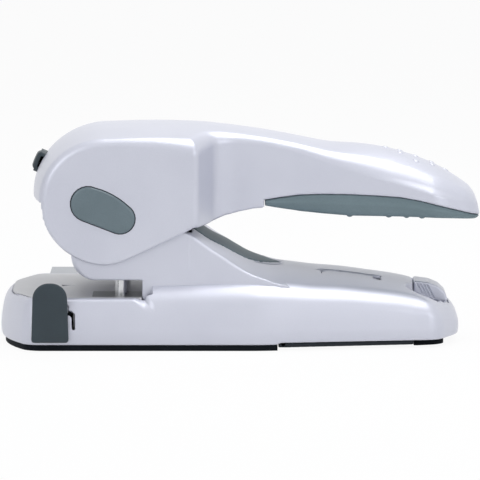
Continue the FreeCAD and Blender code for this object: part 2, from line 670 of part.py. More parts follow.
def make_guide():
    """Block in the upper jaw with a bush for each pin and a pocket for each return spring."""
    inner = "frame_half - plate"
    block = box("guide_blank", ("punch_x - 13", "punch_x + 12"), (f"-({inner})", inner),
                ("guide_floor", "guide_floor + guide_height"))
    pockets = [rod(f"spring_pocket_{n}", "Z", ("punch_x", y, "spring_seat"), "spring_radius + spring_wire + 0.5", "20")
               for n, y in enumerate(("-spring_y", "spring_y"))]
    guide = cut("guide_block", block, at_pins("bush_bore", "bush_radius", "0", "90") + pockets)
    bush_top = "guide_floor + guide_height + 1"
    bushes = cut("guide_bushes", fuse("bush_blanks", at_pins("bush", "bush_radius", "guide_floor", bush_top)),
                 at_pins("bush_hole", "pin_radius + running_gap", "0", "90"))
    return [guide, bushes]


def coil(name, start, lean, radius, wire_radius, turns, free):
    """A coil spring from the middle of its first turn; its axis leans from Z towards X."""
    helix = doc.addObject("Part::Helix", name + "_path")
    bind(helix, Pitch=f"({free}) / {turns}", Height=free, Radius=radius)
    helix.Placement = Placement(Vector(), Rotation(Vector(0, 1, 0), 10))
    bind(helix, **{"Placement.Base.x": start[0], "Placement.Base.y": start[1], "Placement.Base.z": start[2],
                   "Placement.Rotation.Angle": lean})
    wire = doc.addObject("Part::Circle", name + "_wire")
    bind(wire, Radius=wire_radius)
    wire.Placement = Placement(Vector(), Rotation(Vector(1, 0, 0), 90))
    bind(wire, **{"Placement.Base.x": f"{start[0]} + {radius} * cos({lean})", "Placement.Base.y": start[1],
                  "Placement.Base.z": f"{start[2]} - {radius} * sin({lean})"})
    sweep = doc.addObject("Part::Sweep", name)
    sweep.Sections = [wire]
    sweep.Spine = (helix, ["Edge1"])
    sweep.Solid = True
    sweep.Frenet = True
    return sweep


def make_return_springs():
    """Two coils between the guide block and the bridge."""
    free = "bridge_floor - spring_seat - 2 * spring_wire"
    coils = [coil(f"return_spring_{side}", ("punch_x", y, "spring_seat + spring_wire"), "0",
                  "spring_radius", "spring_wire", "4.5", free)
             for side, y in (("near", "-spring_y"), ("far", "spring_y"))]
    return group("return_springs", coils)


def make_stop():
    inner = "frame_half - plate"
    bar = box("stop_bar", ("-44", "-35"), (f"-({inner})", inner), ("pivot_z - 27.6", "pivot_z - 22.6"))
    bumper = rod("bumper_near", "Z", ("-39.5", "-arm_inner - arm_plate / 2", "pivot_z - 22.6"), "4",
                 "13.2 - fit_gap")
    return [bar, pair("stop_bumpers", bumper)]


def make_underside():
    """Bottom plate with the chip door's hinge lugs, rubber mat, end foot and screws."""
    mat = left_part("base_mat", "mat_inset", "0", "rim")
    blank = left_part("bottom_blank", "(skin + 0.4 + fit_gap)", "rim", "rim + bottom_plate")
    lugs = []
    for n, (low, high) in enumerate((("-28", "-12"), ("12", "28"))):
        lugs.append(rod(f"lug_round_{n}", "Y", ("door_hinge_x", low, "door_hinge_z"), "knuckle_radius",
                        f"{high} - ({low})"))
        lugs.append(box(f"lug_{n}", ("door_hinge_x - 1.5", "door_hinge_x + 1.5"), (low, high),
                        ("door_hinge_z", "rim + bottom_plate")))
        lugs.append(box(f"lug_arm_{n}", ("mat_end_x - 1", "door_hinge_x + 1.5"), (low, high),
                        ("rim", "rim + bottom_plate")))
    heads = [rod(f"head_hole_{n}", "Z", (x, y, "rim - 1"), "screw_radius", "bottom_plate + 1")
             for n, (x, y, top) in enumerate(BASE_SCREWS)]
    pin = cross_rod("door_pin", "door_hinge_x", "door_hinge_z", "door_pin_radius", "door_hinge_half - 10")
    bore = cross_rod("lug_bore", "door_hinge_x", "door_hinge_z", "door_pin_radius", "80")
    bottom = cut("bottom_plate", fuse("bottom_with_lugs", [blank] + lugs), heads + [bore])
    screws = []
    for n, (x, y, top) in enumerate(BASE_SCREWS):
        head = rod(f"base_screw_head_{n}", "Z", (x, y, "rim"), "screw_radius", "bottom_plate")
        shank = rod(f"base_screw_shank_{n}", "Z", (x, y, "rim + 1"), "1.5", "12")
        screws.append(fuse(f"base_screw_{n}", [head, shank]))
    foot = level("end_foot", [("door_end_x + 0.5", "-foot_half", "1.5"), ("foot_end_x", "-foot_half + 6", "12"),
                              ("foot_end_x", "foot_half - 6", "12"), ("door_end_x + 0.5", "foot_half", "1.5")],
                 "0", "rim")
    return [mat, bottom, group("base_screws", screws), pin, foot]


def left_part(name, inset, low, high):
    """A plate of the base's plan that ends where the chip door begins."""
    plan = level(f"{name}_plan", base_corners(inset), low, high)
    right = box(f"{name}_right", ("mat_end_x", "end_x + 10"), ("-base_half", "base_half"), (low, high))
    return cut(name, plan, [right])


def make_ruler_channel():
    low = "guide_z - 2"
    high = "table_top - table_plate - deck"
    block = box("channel_blank", ("bar_left - 2.5", "bar_right + 1.8"),
                ("-base_half + 7", "base_half - 7"), (low, high))
    way = box("channel_way", ("bar_left - fit_gap", "bar_right + fit_gap"),
              ("-80", "80"), ("guide_z - fit_gap", "guide_z + guide_thick + fit_gap"))
    return cut("ruler_channel", block, [way])


def make_spare_tub():
    """Little box under the lid, trimmed to the underside of the base's top."""
    outer = box("tub_outer", ("lid_left - 1.5", "lid_right + 1.5"), ("lid_near - 1.5", "lid_far + 1.5"), ("rim + 15", "60"))
    inner = box("tub_inner", ("lid_left", "lid_right"), ("lid_near", "lid_far"), ("rim + 16.5", "61"))
    under = base_top("tub_trim", "(skin + 0.2)")
    return common("spare_tub", [cut("tub_box", outer, [inner, lid_bore("tub_lid_bore")]), under])


# --- Punch bridge ----------------------------------------------------------------------------------------------

def make_bridge():
    """The bar that carries both pins, with two slotted yokes for the drive rollers."""
    half = "frame_half - plate - 1.5"
    bar_top = "bridge_floor + bridge_height"
    bar = box("bridge_bar", ("punch_x - bridge_width / 2", "punch_x + bridge_width / 2"), (f"-({half})", half),
              ("bridge_floor", bar_top))
    slot_low = "drive_z - roller_radius - roller_gap"
    slot_high = "drive_z + roller_radius + roller_gap"
    yokes = []
    for side, low in (("near", "-yoke_half"), ("far", "yoke_half - yoke_plate")):
        blank = box(f"yoke_blank_{side}", ("drive_x - 9.6", "drive_x + 11.6"), (low, f"{low} + yoke_plate"),
                    (f"{bar_top} - 1", f"{slot_high} + 3.6"))
        slot = box(f"yoke_slot_{side}", ("drive_x - roller_radius - 0.5", "drive_x + roller_radius + roller_shift + 0.5"),
                   (f"{low} - 1", f"{low} + yoke_plate + 1"), (slot_low, slot_high))
        yokes.append(cut(f"yoke_{side}", blank, [slot]))
    bridge = cut("punch_bridge", fuse("bridge_blank", [bar] + yokes), at_pins("bridge_bore", "pin_radius - 0.5", "0", "90"))
    pins = []
    for side, y in (("near", "-punch_pitch / 2"), ("far", "punch_pitch / 2")):
        shank = rod(f"pin_shank_{side}", "Z", ("punch_x", y, "pin_bottom"), "pin_radius", "bridge_floor - pin_bottom")
        stud = rod(f"pin_stud_{side}", "Z", ("punch_x", y, "bridge_floor - 1"), "pin_radius - 0.5",
                   "pin_top - bridge_floor + 1")
        notch = rod(f"pin_notch_{side}", "X", ("punch_x - 6", y, "pin_bottom - 0.6"), "1.9", "12")
        pins.append(cut(f"pin_{side}", fuse(f"pin_blank_{side}", [shank, stud]), [notch]))
    punch_pins = group("punch_pins", pins)
    nuts = cut("pin_nuts", fuse("nut_blanks", [hexagon(f"nut_{side}", y, bar_top, "3")
                                               for side, y in (("near", "-punch_pitch / 2"), ("far", "punch_pitch / 2"))]),
               at_pins("nut_bore", "pin_radius - 0.5", "0", "90"))
    return [bridge, punch_pins, nuts]


def hexagon(name, y, low, height):
    """A hexagon nut blank at a pin."""
    nut = doc.addObject("Part::Prism", name)
    nut.Polygon = 6
    bind(nut, Circumradius="5.6", Height=height)
    return place(nut, "punch_x", y, low)


# --- Lever -----------------------------------------------------------------------------------------------------

HANDLE = ((-40, 0, 2, 0.5), (-20, 0, 3.1, 0.9), (5, 0, 5.4, 3.6), (24, 0, 9.3, 7.3), (43, 0.11, 13.6, 10.6),
          (56, 0.33, 17, 12.1), (70, 0.78, 20.6, 13), (85, 1, 25.6, 15), (100, 1, 31.1, 19.4), (115, 0.95, 36.6, 25.6),
          (126, 0.8, 41.1, 32.2), (136, 0.6, 46.5, 40.1))


def handle_blank(name, wall, side_wall, end_x):
    """The handle behind the head: a crowned bar whose sections follow the lever, drawn in by its walls."""
    stations = []
    for x, widening, edge_fall, crown_fall in HANDLE:
        half = f"neck_half + {widening} * (palm_half - neck_half) - {side_wall}"
        stations.append((x, half, "50", f"hub_top - {edge_fall} - {wall}", f"hub_top - {crown_fall} - {wall}"))
    stations.append((end_x, f"palm_half - 3.5 - {side_wall}", "50", f"hub_top - 50.5 - {wall}",
                     f"hub_top - 48.2 - {wall}"))
    return crowned(name, stations)


def handle_plan(name, inset):
    """The handle from above."""
    near = [
        ("-40", f"-(neck_half + 6 - {inset})"),
        ("40", f"-(neck_half + 6 - {inset})"),
        ("116", f"-(palm_half + 0.5 - {inset})", "28"),
        (f"tip_x - {inset}", f"-(palm_half - 12 - {inset})", "15"),
    ]
    far_side = [(corner[0], far(corner[1])) + corner[2:] for corner in reversed(near)]
    return level(name, near + far_side, "50", "140")


HANDLE_BELOW = (("-24", "hub_back_low - 1"), ("-18", "hub_back_low - 0.5"), ("-9", "hub_back_low + 3.5"),
                ("0", "hub_back_low + 5.7"), ("8", "hub_back_low + 7.7"), ("grip_start_x", "hub_back_low + 8"))
SHELL_EDGE = (("grip_start_x", "hub_top - 42.6"), ("35", "hub_top - 39.6"), ("61", "hub_top - 39"),
              ("93", "hub_top - 40.6"), ("115", "hub_top - 45.6"), ("tip_x - 4", "hub_top - 50.6"))
GRIP_BELOW = (("136", "hub_top - 54.4"), ("104", "hub_top - 52.6"), ("93", "hub_top - 52.2"),
              ("64", "hub_top - 51.7"), ("35", "hub_top - 49.4"), ("grip_start_x", "hub_top - 45.9"))


def head_profile(name, inset, low, high):
    """The head from the side: a round front and a straight lower edge that rises to the back."""
    return upright(name, [
        (f"hub_left + {inset}", f"hub_top + 2 - {inset}", f"hub_round - {inset}"),
        (f"hub_left + {inset}", f"hub_low + {inset}", f"hub_round - {inset}"),
        (f"hub_back - {inset}", f"hub_back_low + {inset}", "2"),
        (f"hub_back - {inset}", f"hub_top + 2 - {inset}", "3"),
    ], low, high)


def head_crown(name, drop):
    """Everything under the crowned top of the head."""
    half = "hub_half + 4"
    low = f"hub_top - {drop} - hub_crown"
    high = f"hub_top - {drop}"
    return crowned(name, [("-125", half, "20", low, high), ("-60", half, "20", low, high),
                          ("-20", half, "20", f"{low} - 0.9", f"{high} - 0.9"),
                          ("-5", half, "20", f"{low} - 2.7", f"{high} - 2.7")])


def make_handle_shell():
    """Silver lever: a wide head round the tower, a narrow neck and a broad palm rest, hollow from below."""
    head = common("head_blank", [head_profile("head_outline", "0", "-hub_half", "hub_half"), head_crown("head_top", "0")])
    head = round_over("head", head, "3.6", lambda middle, edge: abs(abs(middle.y) - value("hub_half")) < 0.05)
    shoulder_near = [("-30", "-hub_half + 2"), ("-24.2", "-hub_half + 2", "2"), ("-19", "-hub_half + 16"),
                     ("-13", "-neck_half - 3.5"), ("-4", "-neck_half")]
    shoulder_far = [(corner[0], far(corner[1])) + corner[2:] for corner in reversed(shoulder_near)]
    shoulder_plan = level("shoulder_plan", shoulder_near + shoulder_far, "60", "130")
    shoulder_side = upright("shoulder_side", [("-30", "hub_back_low - 1"), ("-18", "hub_back_low + 1"),
                                              ("-3", "hub_back_low + 6.5"), ("-3", "140"), ("-30", "140")], "-80", "80")
    shoulder = common("shoulder", [common("shoulder_rough", [shoulder_plan, shoulder_side]), head_crown("shoulder_top", "0")])
    side = upright("handle_side", [("-40", "hub_back_low - 4.5")] + list(HANDLE_BELOW) + list(SHELL_EDGE)
                   + [("tip_x + 1", "hub_top - 52.4"), ("tip_x + 1", "150"), ("-40", "150")], "-80", "80")
    bar = common("handle", [common("handle_rough", [handle_blank("handle_bar", "0", "0", "tip_x + 1"), side]),
                            handle_plan("handle_plan", "0")])
    tools = [
        common("head_cavity", [head_profile("head_cavity_outline", "skin", "-hub_half + cheek", "hub_half - cheek"),
                               head_crown("head_cavity_top", "skin")]),
        box("head_mouth", ("-130", "hub_back - skin"), ("-hub_half + cheek", "hub_half - cheek"), ("20", "lip_z")),
        common("neck_cavity", [handle_blank("neck_cavity_bar", "skin", "(skin + 1)", "tip_x - skin"),
                               upright("neck_cavity_side", [("-40", "hub_back_low - 1.5")]
                                       + [(x, f"{z} + skin") for x, z in HANDLE_BELOW[:-1]]
                                       + [("grip_start_x - skin", "hub_back_low + 8 + skin"),
                                          ("grip_start_x - skin", "hub_top - 42.6"), ("grip_start_x", "hub_top - 42.6"),
                                          ("grip_start_x", "60"), ("tip_x - skin", "60"), ("tip_x - skin", "150"),
                                          ("-40", "150")], "-80", "80")]),
        button_body("button_window", "0.3", "-8", "6"),
        cap_body("cap_seat_near", "0.15", "-hub_half - 5", "-hub_half + 1.5"),
        cap_body("cap_seat_far", "0.15", "hub_half - 1.5", "hub_half + 5"),
    ] + lever_screws("shell_pilot", "1.5", "20", "neck_half - 1.2")
    outer = fuse("handle_outer", [head, shoulder, bar])
    return cut("handle_shell", outer, tools)


def far(text):
    """The same place on the far side: the expression with its sign turned."""
    return f"-({text})"


def cap_body(name, gap, low, high):
    """An oval round the pivot and the drive axle."""
    large = f"(cap_large + {gap})"
    small = f"(cap_small + {gap})"
    link = upright(name + "_link", [
        (f"pivot_x + 0.4851 * {large}", f"pivot_z + 0.8743 * {large}"),
        (f"drive_x + 0.4851 * {small}", f"drive_z + 0.8743 * {small}"),
        (f"drive_x - 0.3589 * {small}", f"drive_z - 0.9333 * {small}"),
        (f"pivot_x - 0.3589 * {large}", f"pivot_z - 0.9333 * {large}"),
    ], low, high)
    ends = [rod(name + "_large", "Y", ("pivot_x", low, "pivot_z"), large, f"{high} - ({low})"),
            rod(name + "_small", "Y", ("drive_x", low, "drive_z"), small, f"{high} - ({low})")]
    return fuse(name, [link] + ends)


def make_handle_caps():
    near = cap_body("cap_near", "0", "-hub_half - cap_proud", "-hub_half + 1.5")
    notch = box("cap_notch", ("drive_x - 1.6", "drive_x + 1.6"), ("-hub_half - cap_proud - 1", "-hub_half"),
                ("drive_z - cap_small - 1", "drive_z - cap_small + 1.4"))
    return pair("handle_caps", cut("cap_notched", near, [notch]))


def make_grip_insert():
    """Dark insert that closes the handle from below."""
    shape = upright("grip_side", list(SHELL_EDGE) + [("tip_x - 0.6", "hub_top - 52"), ("tip_x - 0.6", "hub_top - 54")]
                    + list(GRIP_BELOW), "-80", "80")
    bar = crowned("grip_bar", [(x, f"neck_half + {widening} * (palm_half - neck_half) - 0.6", "50", "hub_top",
                                "hub_top + 3") for x, widening, edge, crown in HANDLE[2:]]
                  + [("tip_x", "palm_half - 4.1", "50", "hub_top", "hub_top + 3")])
    body = common("grip_blank", [common("grip_rough", [shape, bar]), handle_plan("grip_plan", "0.6")])
    holes = []
    for n, (x, low) in enumerate(GRIP_SCREWS):
        holes.append(rod(f"grip_hole_{n}", "Z", (x, "0", "50"), "1.6", "60"))
        holes.append(rod(f"grip_seat_{n}", "Z", (x, "0", "50"), "3.5", f"{low} + 1.2 - 50"))
    return cut("grip_insert", body, holes)


GRIP_SCREWS = (("63", "hub_top - 52.6"), ("104", "hub_top - 53.4"))


def make_grip_screws():
    """Two screws in the underside of the grip, whose low heads show below it."""
    screws = []
    for n, (x, low) in enumerate(GRIP_SCREWS):
        head = rod(f"grip_screw_head_{n}", "Z", (x, "0", low), "3.4", "1.2")
        shank = rod(f"grip_screw_shank_{n}", "Z", (x, "0", low), "1.6", "20")
        screws.append(fuse(f"grip_screw_{n}", [head, shank]))
    return group("grip_screws", screws)


LEVER_SCREWS = (("0", "hub_top - 32"), ("36", "hub_top - 29"))


def lever_screws(name, radius, inner, outer):
    """Cross rods at the screws that hold the arms to the neck."""
    rods = []
    for n, (x, z) in enumerate(LEVER_SCREWS):
        rods.append(rod(f"{name}_near_{n}", "Y", (x, f"-({outer})", z), radius, f"{outer} - ({inner})"))
        rods.append(rod(f"{name}_far_{n}", "Y", (x, inner, z), radius, f"{outer} - ({inner})"))
    return rods


def make_lever_steel():
    """Two arms with the pivot bushes, the drive axle and its rollers, a spacer and the screws into the neck."""
    corners = [
        ("pivot_x - 6", "pivot_z - 6", "5.5"), ("drive_x + 1.9", "drive_z - 8.6", "4"), ("-60", "drive_z - 8", "2"),
        ("-46", "pivot_z - 9.4"), ("-33", "pivot_z - 9.4"), ("-20", "pivot_z - 1.6", "8"), ("60", "hub_top - 33.6"),
        ("60", "hub_top - 23.6", "4"), ("-20", "hub_top - 21.6"), ("-60", "hub_top - 25.6"),
        ("pivot_x - 6", "pivot_z + 6", "5.5"),
    ]
    outer = "arm_inner + arm_plate"
    spacer = ("-44", "pivot_z + 8")
    holes = [("pivot_x", "pivot_z", "pivot_radius + running_gap"), ("drive_x", "drive_z", "drive_radius"),
             (spacer[0], spacer[1], "2.5")] + [(x, z, "1.5") for x, z in LEVER_SCREWS]
    near = upright("lever_arm_near", corners, f"-({outer})", "-arm_inner", holes)
    far_arm = upright("lever_arm_far", corners, "arm_inner", outer, holes)
    blank = rod("bush_near_blank", "Y", ("pivot_x", f"-(frame_half - plate - 0.3)", "pivot_z"), "6",
                f"frame_half - plate - 0.3 - ({outer})")
    bushes = pair("lever_bushes", cut("lever_bush", blank, [
        cross_rod("lever_bush_bore", "pivot_x", "pivot_z", "pivot_radius + running_gap", "80")]))
    drive = cross_rod("drive_axle", "drive_x", "drive_z", "drive_radius", f"{outer} + 1.4")
    bore = cross_rod("drive_bore", "drive_x", "drive_z", "drive_radius + running_gap", "80")
    roller = cut("roller", rod("roller_blank", "Y", ("drive_x", "-yoke_half - 0.1", "drive_z"), "roller_radius",
                               "yoke_plate + 0.2"), [bore])
    rollers = pair("drive_rollers", roller)
    ring = cut("drive_clip", rod("drive_clip_disc", "Y", ("drive_x", f"-({outer}) - 0.8", "drive_z"), "4.6", "0.8"),
               [cross_rod("drive_clip_bore", "drive_x", "drive_z", "drive_radius", "80")])
    clips = pair("drive_clips", ring)
    bar = cross_rod("spacer_bar", spacer[0], spacer[1], "4", "arm_inner")
    ends = cross_rod("spacer_ends", spacer[0], spacer[1], "2.5", outer)
    spacer_piece = fuse("arm_spacer", [bar, ends])
    heads = lever_screws("lever_screw_head", "3", "arm_inner - 1.6", "arm_inner")
    shanks = lever_screws("lever_screw_shank", "1.5", "arm_inner - 0.5", "neck_half - 1.4")
    screws = group("arm_screws", [fuse(f"arm_screw_{n}", [head, shank]) for n, (head, shank) in enumerate(zip(heads, shanks))])
    return [near, far_arm, bushes, drive, rollers, clips, spacer_piece, screws]


# --- Lock button -----------------------------------------------------------------------------------------------

def button_body(name, gap, start, end):
    """A rounded block along the button's own axis, from a start (outside) to an end (inside)."""
    y = f"button_width / 2 + {gap}"
    z = f"button_height / 2 + {gap}"
    body = plate(name, "YZ_Plane", [(f"-({y})", f"-({z})", "3"), (y, f"-({z})", "3"), (y, z, "3"), (f"-({y})", z, "3")],
                 start, f"{end} - ({start})")
    body.Placement = Placement(Vector(), Rotation(Vector(0, 1, 0), 10))
    bind(body, **{"Placement.Base.x": "button_x", "Placement.Base.z": "button_z",
                  "Placement.Rotation.Angle": "button_tilt"})
    return body


def make_lock():
    """Push button in the front of the head, its stem and spring."""
    button = button_body("button_block", "0", "-button_proud", "4")
    stem = rod("button_stem", "Z", ("button_x", "0", "button_z"), "2.2", "11")
    stem.Placement = Placement(Vector(), Rotation(Vector(0, 1, 0), 10))
    bind(stem, **{"Placement.Base.x": "button_x", "Placement.Base.z": "button_z",
                  "Placement.Rotation.Angle": "90 + button_tilt"})
    spring = coil("lock_spring", ("button_x + 4.6 * cos(button_tilt)", "0", "button_z - 4.6 * sin(button_tilt)"),
                  "90 + button_tilt", "3.1", "0.5", "3", "5")
    return [fuse("lock_button", [button, stem]), spring]


# --- Paper guide -----------------------------------------------------------------------------------------------

def make_paper_guide():
    """Flat bar through the base with an upright tab at its near end."""
    bar = box("guide_bar", ("bar_left", "bar_right"), ("-base_half - 0.3", "guide_far"),
              ("guide_z", "guide_z + guide_thick"))
    half = "tab_width / 2"
    tab = upright("guide_tab", [
        (f"guide_x - {half}", "tab_bottom", "2"),
        (f"guide_x + {half}", "tab_bottom", "2"),
        (f"guide_x + {half}", "tab_top", "tab_width * 0.46"),
        (f"guide_x - {half}", "tab_top", "tab_width * 0.46"),
    ], "-base_half - 0.3 - tab_thick", "-base_half - 0.3")
    return [bar, tab]


# --- Chip door and latch ---------------------------------------------------------------------------------------

def make_chip_door():
    """Door under the chip space with three knuckles and a catch."""
    left = "door_hinge_x + knuckle_radius + 0.3"
    half = "door_hinge_half"
    end_half = "door_end_half"
    top = "door_floor + door_plate"
    leaf = level("door_leaf", [(left, f"-{half}", "2"), ("door_end_x", f"-{end_half}", "2"),
                               ("door_end_x", end_half, "2"), (left, half, "2")], "door_floor", top)
    parts = [leaf]
    for n, (low, high) in enumerate((("-49", "-28.4"), ("-11.6", "11.6"), ("28.4", "49"))):
        parts.append(rod(f"knuckle_{n}", "Y", ("door_hinge_x", low, "door_hinge_z"), "knuckle_radius",
                         f"{high} - ({low})"))
        parts.append(box(f"knuckle_arm_{n}", ("door_hinge_x", f"{left} + 1"), (low, high),
                         ("door_hinge_z - knuckle_radius", f"{top} - 0.3")))
    for n, (low, high) in enumerate(((f"-{half}", f"-{half} + 9.9"), (f"{half} - 9.9", half))):
        parts.append(box(f"door_flap_{n}", ("mat_end_x + 0.6", f"{left} + 3"), (low, high), ("door_floor", top)))
    parts.append(box("catch_tongue", ("door_end_x - 6", "door_end_x - 3.5"), ("-6", "6"), (f"{top} - 0.5", "rim + 9")))
    parts.append(box("catch_nose", ("door_end_x - 3.6", "door_end_x - 1.8"), ("-6", "6"), ("rim + 7", "rim + 9")))
    bore = cross_rod("knuckle_bore", "door_hinge_x", "door_hinge_z", "door_pin_radius + running_gap", "80")
    return cut("chip_door", fuse("door_blank", parts), [bore])


def make_door_latch():
    """Silver slide over the right end: a cap between two finger scoops, a stem and a nose over the door's catch."""
    crown = "base_edge + base_crown"
    cap = upright("latch_cap", [
        ("door_end_x + 1", f"{crown} - 16.3"), ("door_end_x + 13.4", f"{crown} - 21.4"),
        ("door_end_x + 14.2", f"{crown} - 15.9"), ("door_end_x + 19.6", f"{crown} - 20.1"),
        ("door_end_x + 20.8", f"{crown} - 19.6"), ("door_end_x + 19", f"{crown} - 15.9", "3"),
        ("door_end_x + 15.3", f"{crown} - 12.8", "4"), ("door_end_x + 10", f"{crown} - 10.6", "6"),
        ("door_end_x + 1.2", f"{crown} - 9.5", "1.2"),
    ], "-latch_half", "latch_half")
    stem = box("latch_stem", ("door_end_x + 3 + fit_gap", "door_end_x + 9 - fit_gap"), ("-8", "8"),
               ("rim + skin + 0.5", f"{crown} - 11"))
    nose = box("latch_nose", ("door_end_x - 0.8", "door_end_x + 4"), ("-6", "6"), ("rim + 4.5", "rim + 6.7"))
    return fuse("door_latch", [cap, stem, nose])


# --- Spare parts lid -------------------------------------------------------------------------------------------

def make_spare_lid():
    """Lid that follows the base's crowned top, with a rounded hinge end and two stub pins."""
    x, z = LID_PIN
    near = "lid_near + fit_gap"
    far_side = "lid_far - fit_gap"
    block = box("lid_block", ("lid_left + fit_gap", x), (near, far_side), ("15", "80"))
    hinge_end = rod("lid_hinge_end", "Y", (x, near, z), "lid_right - fit_gap - (" + x + ")", f"{far_side} - ({near})")
    sheet_top = base_top("lid_sheet_top", "lid_drop")
    sheet_low = base_top("lid_sheet_low", "(lid_drop + lid_plate)")
    leaf = cut("lid_leaf", common("lid_upper", [fuse("lid_plan", [block, hinge_end]), sheet_top]), [sheet_low])
    ears = [common(f"lid_ear_{n}", [box(f"lid_ear_block_{n}", (f"{x} - 2.2", f"{x} + 1.4"), (low, f"{low} + 2"),
                                        (f"{z} - 1.4", f"{z} + 3.6")), sheet_top])
            for n, low in enumerate((near, "lid_far - fit_gap - 2"))]
    pins = rod("lid_pins", "Y", (x, "lid_near - 1.2", z), "0.7", "3")
    far_pin = rod("lid_far_pin", "Y", (x, "lid_far - 1.8", z), "0.7", "3")
    return fuse("spare_lid", [leaf, pins, far_pin] + ears)


# --- Assembly and export ---------------------------------------------------------------------------------------

PIECES = [
    make_base_housing(), make_paper_table(), make_die_inserts(), make_ruler_channel(), make_spare_tub(),
    make_tower_housing(), make_slope_spine(), *make_frame(), *make_guide(), make_return_springs(), *make_stop(),
    *make_underside(), *make_bridge(), make_handle_shell(), make_handle_caps(), make_grip_insert(),
    make_grip_screws(), *make_lever_steel(), *make_lock(), *make_paper_guide(), make_chip_door(),
    make_door_latch(), make_spare_lid(),
]
doc.recompute()

for item in doc.Objects:
    if "Invalid" in item.State or "Error" in item.State:
        raise RuntimeError(f"{item.Name}: {item.State}")
os.makedirs("parts", exist_ok=True)
for piece in PIECES:
    shape = piece.Shape
    if shape.isNull() or not shape.isValid() or not shape.Solids:
        raise RuntimeError(f"{piece.Name} has no valid solid")
    piece.Label = piece.Name
    shape.exportStep(f"parts/{piece.Name}.step")
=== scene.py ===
"""Looks of the desk lever punch: smooth skins over the CAD frame, procedural materials, light and camera.

The skins are signed distance fields in millimetres, polygonised here. X runs from the nose to the lever's end,
the near side is -Y, Z is up, and the origin is on the table top under the middle of the base.
"""
import bpy
import json
import math
import numpy as np
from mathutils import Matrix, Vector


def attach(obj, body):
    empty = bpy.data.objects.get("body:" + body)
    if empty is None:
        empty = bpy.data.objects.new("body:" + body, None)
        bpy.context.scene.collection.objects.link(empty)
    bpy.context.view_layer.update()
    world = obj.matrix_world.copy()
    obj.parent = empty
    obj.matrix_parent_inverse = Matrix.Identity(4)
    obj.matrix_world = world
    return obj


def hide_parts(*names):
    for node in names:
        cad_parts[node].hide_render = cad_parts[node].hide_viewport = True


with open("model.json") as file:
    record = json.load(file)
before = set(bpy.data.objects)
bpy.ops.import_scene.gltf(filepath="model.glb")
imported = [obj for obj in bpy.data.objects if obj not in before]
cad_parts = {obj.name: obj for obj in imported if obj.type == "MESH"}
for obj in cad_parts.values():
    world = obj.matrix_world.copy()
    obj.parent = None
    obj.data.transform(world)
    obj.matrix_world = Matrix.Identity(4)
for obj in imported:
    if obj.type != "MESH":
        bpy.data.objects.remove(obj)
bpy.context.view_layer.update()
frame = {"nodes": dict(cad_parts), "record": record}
nodes = frame["nodes"]

STEP = 1.15  # grid of the large skins, mm
PROBE = 0.3                         # reach over which a field's slope is measured, mm
RELAX_ROUNDS = 2                    # smoothing passes over a new skin
LEVER_HALF = 56                     # half widths of the lever's head, the tower and the base
TOWER_HALF = 53
BASE_HALF = 67
BASE_CROWN = 11.2                   # rise of the base's top at its middle
TABLE_TOP = 30
BASE_WALL = 2.5
PIVOT = (-86.1, 83.6)               # lever's axle, from the side
DRIVE = (-67.9, 75.1)               # axle that drives the punch bridge
HEAD = (-76.0, 86.0)                # middle of the head's round front
TOWER_PIN = (-67.7, 40)             # punch pins, from above (near and far)
DOOR_PIN = (25.2, 3.5)              # hinges, from the side
LID_PIN = (77.6, 31.8)


# --- Distance fields -------------------------------------------------------------------------------------------

def meet(a, b, r=0.0):
    """Where two solids overlap, with a round of radius r along their edge."""
    if np.isscalar(r) and r == 0:
        return np.maximum(a, b)
    return np.minimum(-r, np.maximum(a, b)) + np.hypot(np.maximum(r + a, 0), np.maximum(r + b, 0))


def join(a, b, r=0.0):
    """Two solids together, with a hollow round of radius r between them."""
    return -meet(-a, -b, r)


def less(a, b, r=0.0):
    """A solid with another taken away."""
    return meet(a, -b, r)


def block(x, y, z, low, high, r=0.0):
    """A box with rounded edges."""
    sides = []
    for v, lo, hi in zip((x, y, z), low, high):
        sides.append(np.abs(v - (lo + hi) / 2) - (hi - lo) / 2 + r)
    outside = np.sqrt(sum(np.maximum(s, 0) ** 2 for s in sides))
    inside = np.minimum(np.maximum(np.maximum(sides[0], sides[1]), sides[2]), 0)
    return outside + inside - r


def ball(x, y, z, centre, radius):
    return np.sqrt((x - centre[0]) ** 2 + (y - centre[1]) ** 2 + (z - centre[2]) ** 2) - radius


def rounded(corners):
    """A closed outline from corners; a third number on a corner is its radius."""
    points = []
    for i, corner in enumerate(corners):
        p = np.array(corner[:2], float)
        if len(corner) == 2:
            points.append(p)
            continue
        back = np.array(corners[i - 1][:2], float) - p
        ahead = np.array(corners[(i + 1) % len(corners)][:2], float) - p
        back /= np.hypot(*back)
        ahead /= np.hypot(*ahead)
        half = math.acos(max(-1.0, min(1.0, float(back @ ahead)))) / 2
        reach = corner[2] / math.tan(half)
        middle = (back + ahead) / np.hypot(*(back + ahead))
        centre = p + middle * corner[2] / math.sin(half)
        start = p + back * reach - centre
        end = p + ahead * reach - centre
        turn = math.pi - 2 * half
        count = max(3, int(turn * corner[2] / 1.2) + 2)
        for t in np.linspace(0, 1, count):
            points.append(centre + (math.sin((1 - t) * turn) * start + math.sin(t * turn) * end) / math.sin(turn))
    return np.array(points)


def both_sides(near):
    """A plan outline from its near half, which runs from left to right."""
    return list(near) + [(c[0], -c[1]) + tuple(c[2:]) for c in reversed(near)]


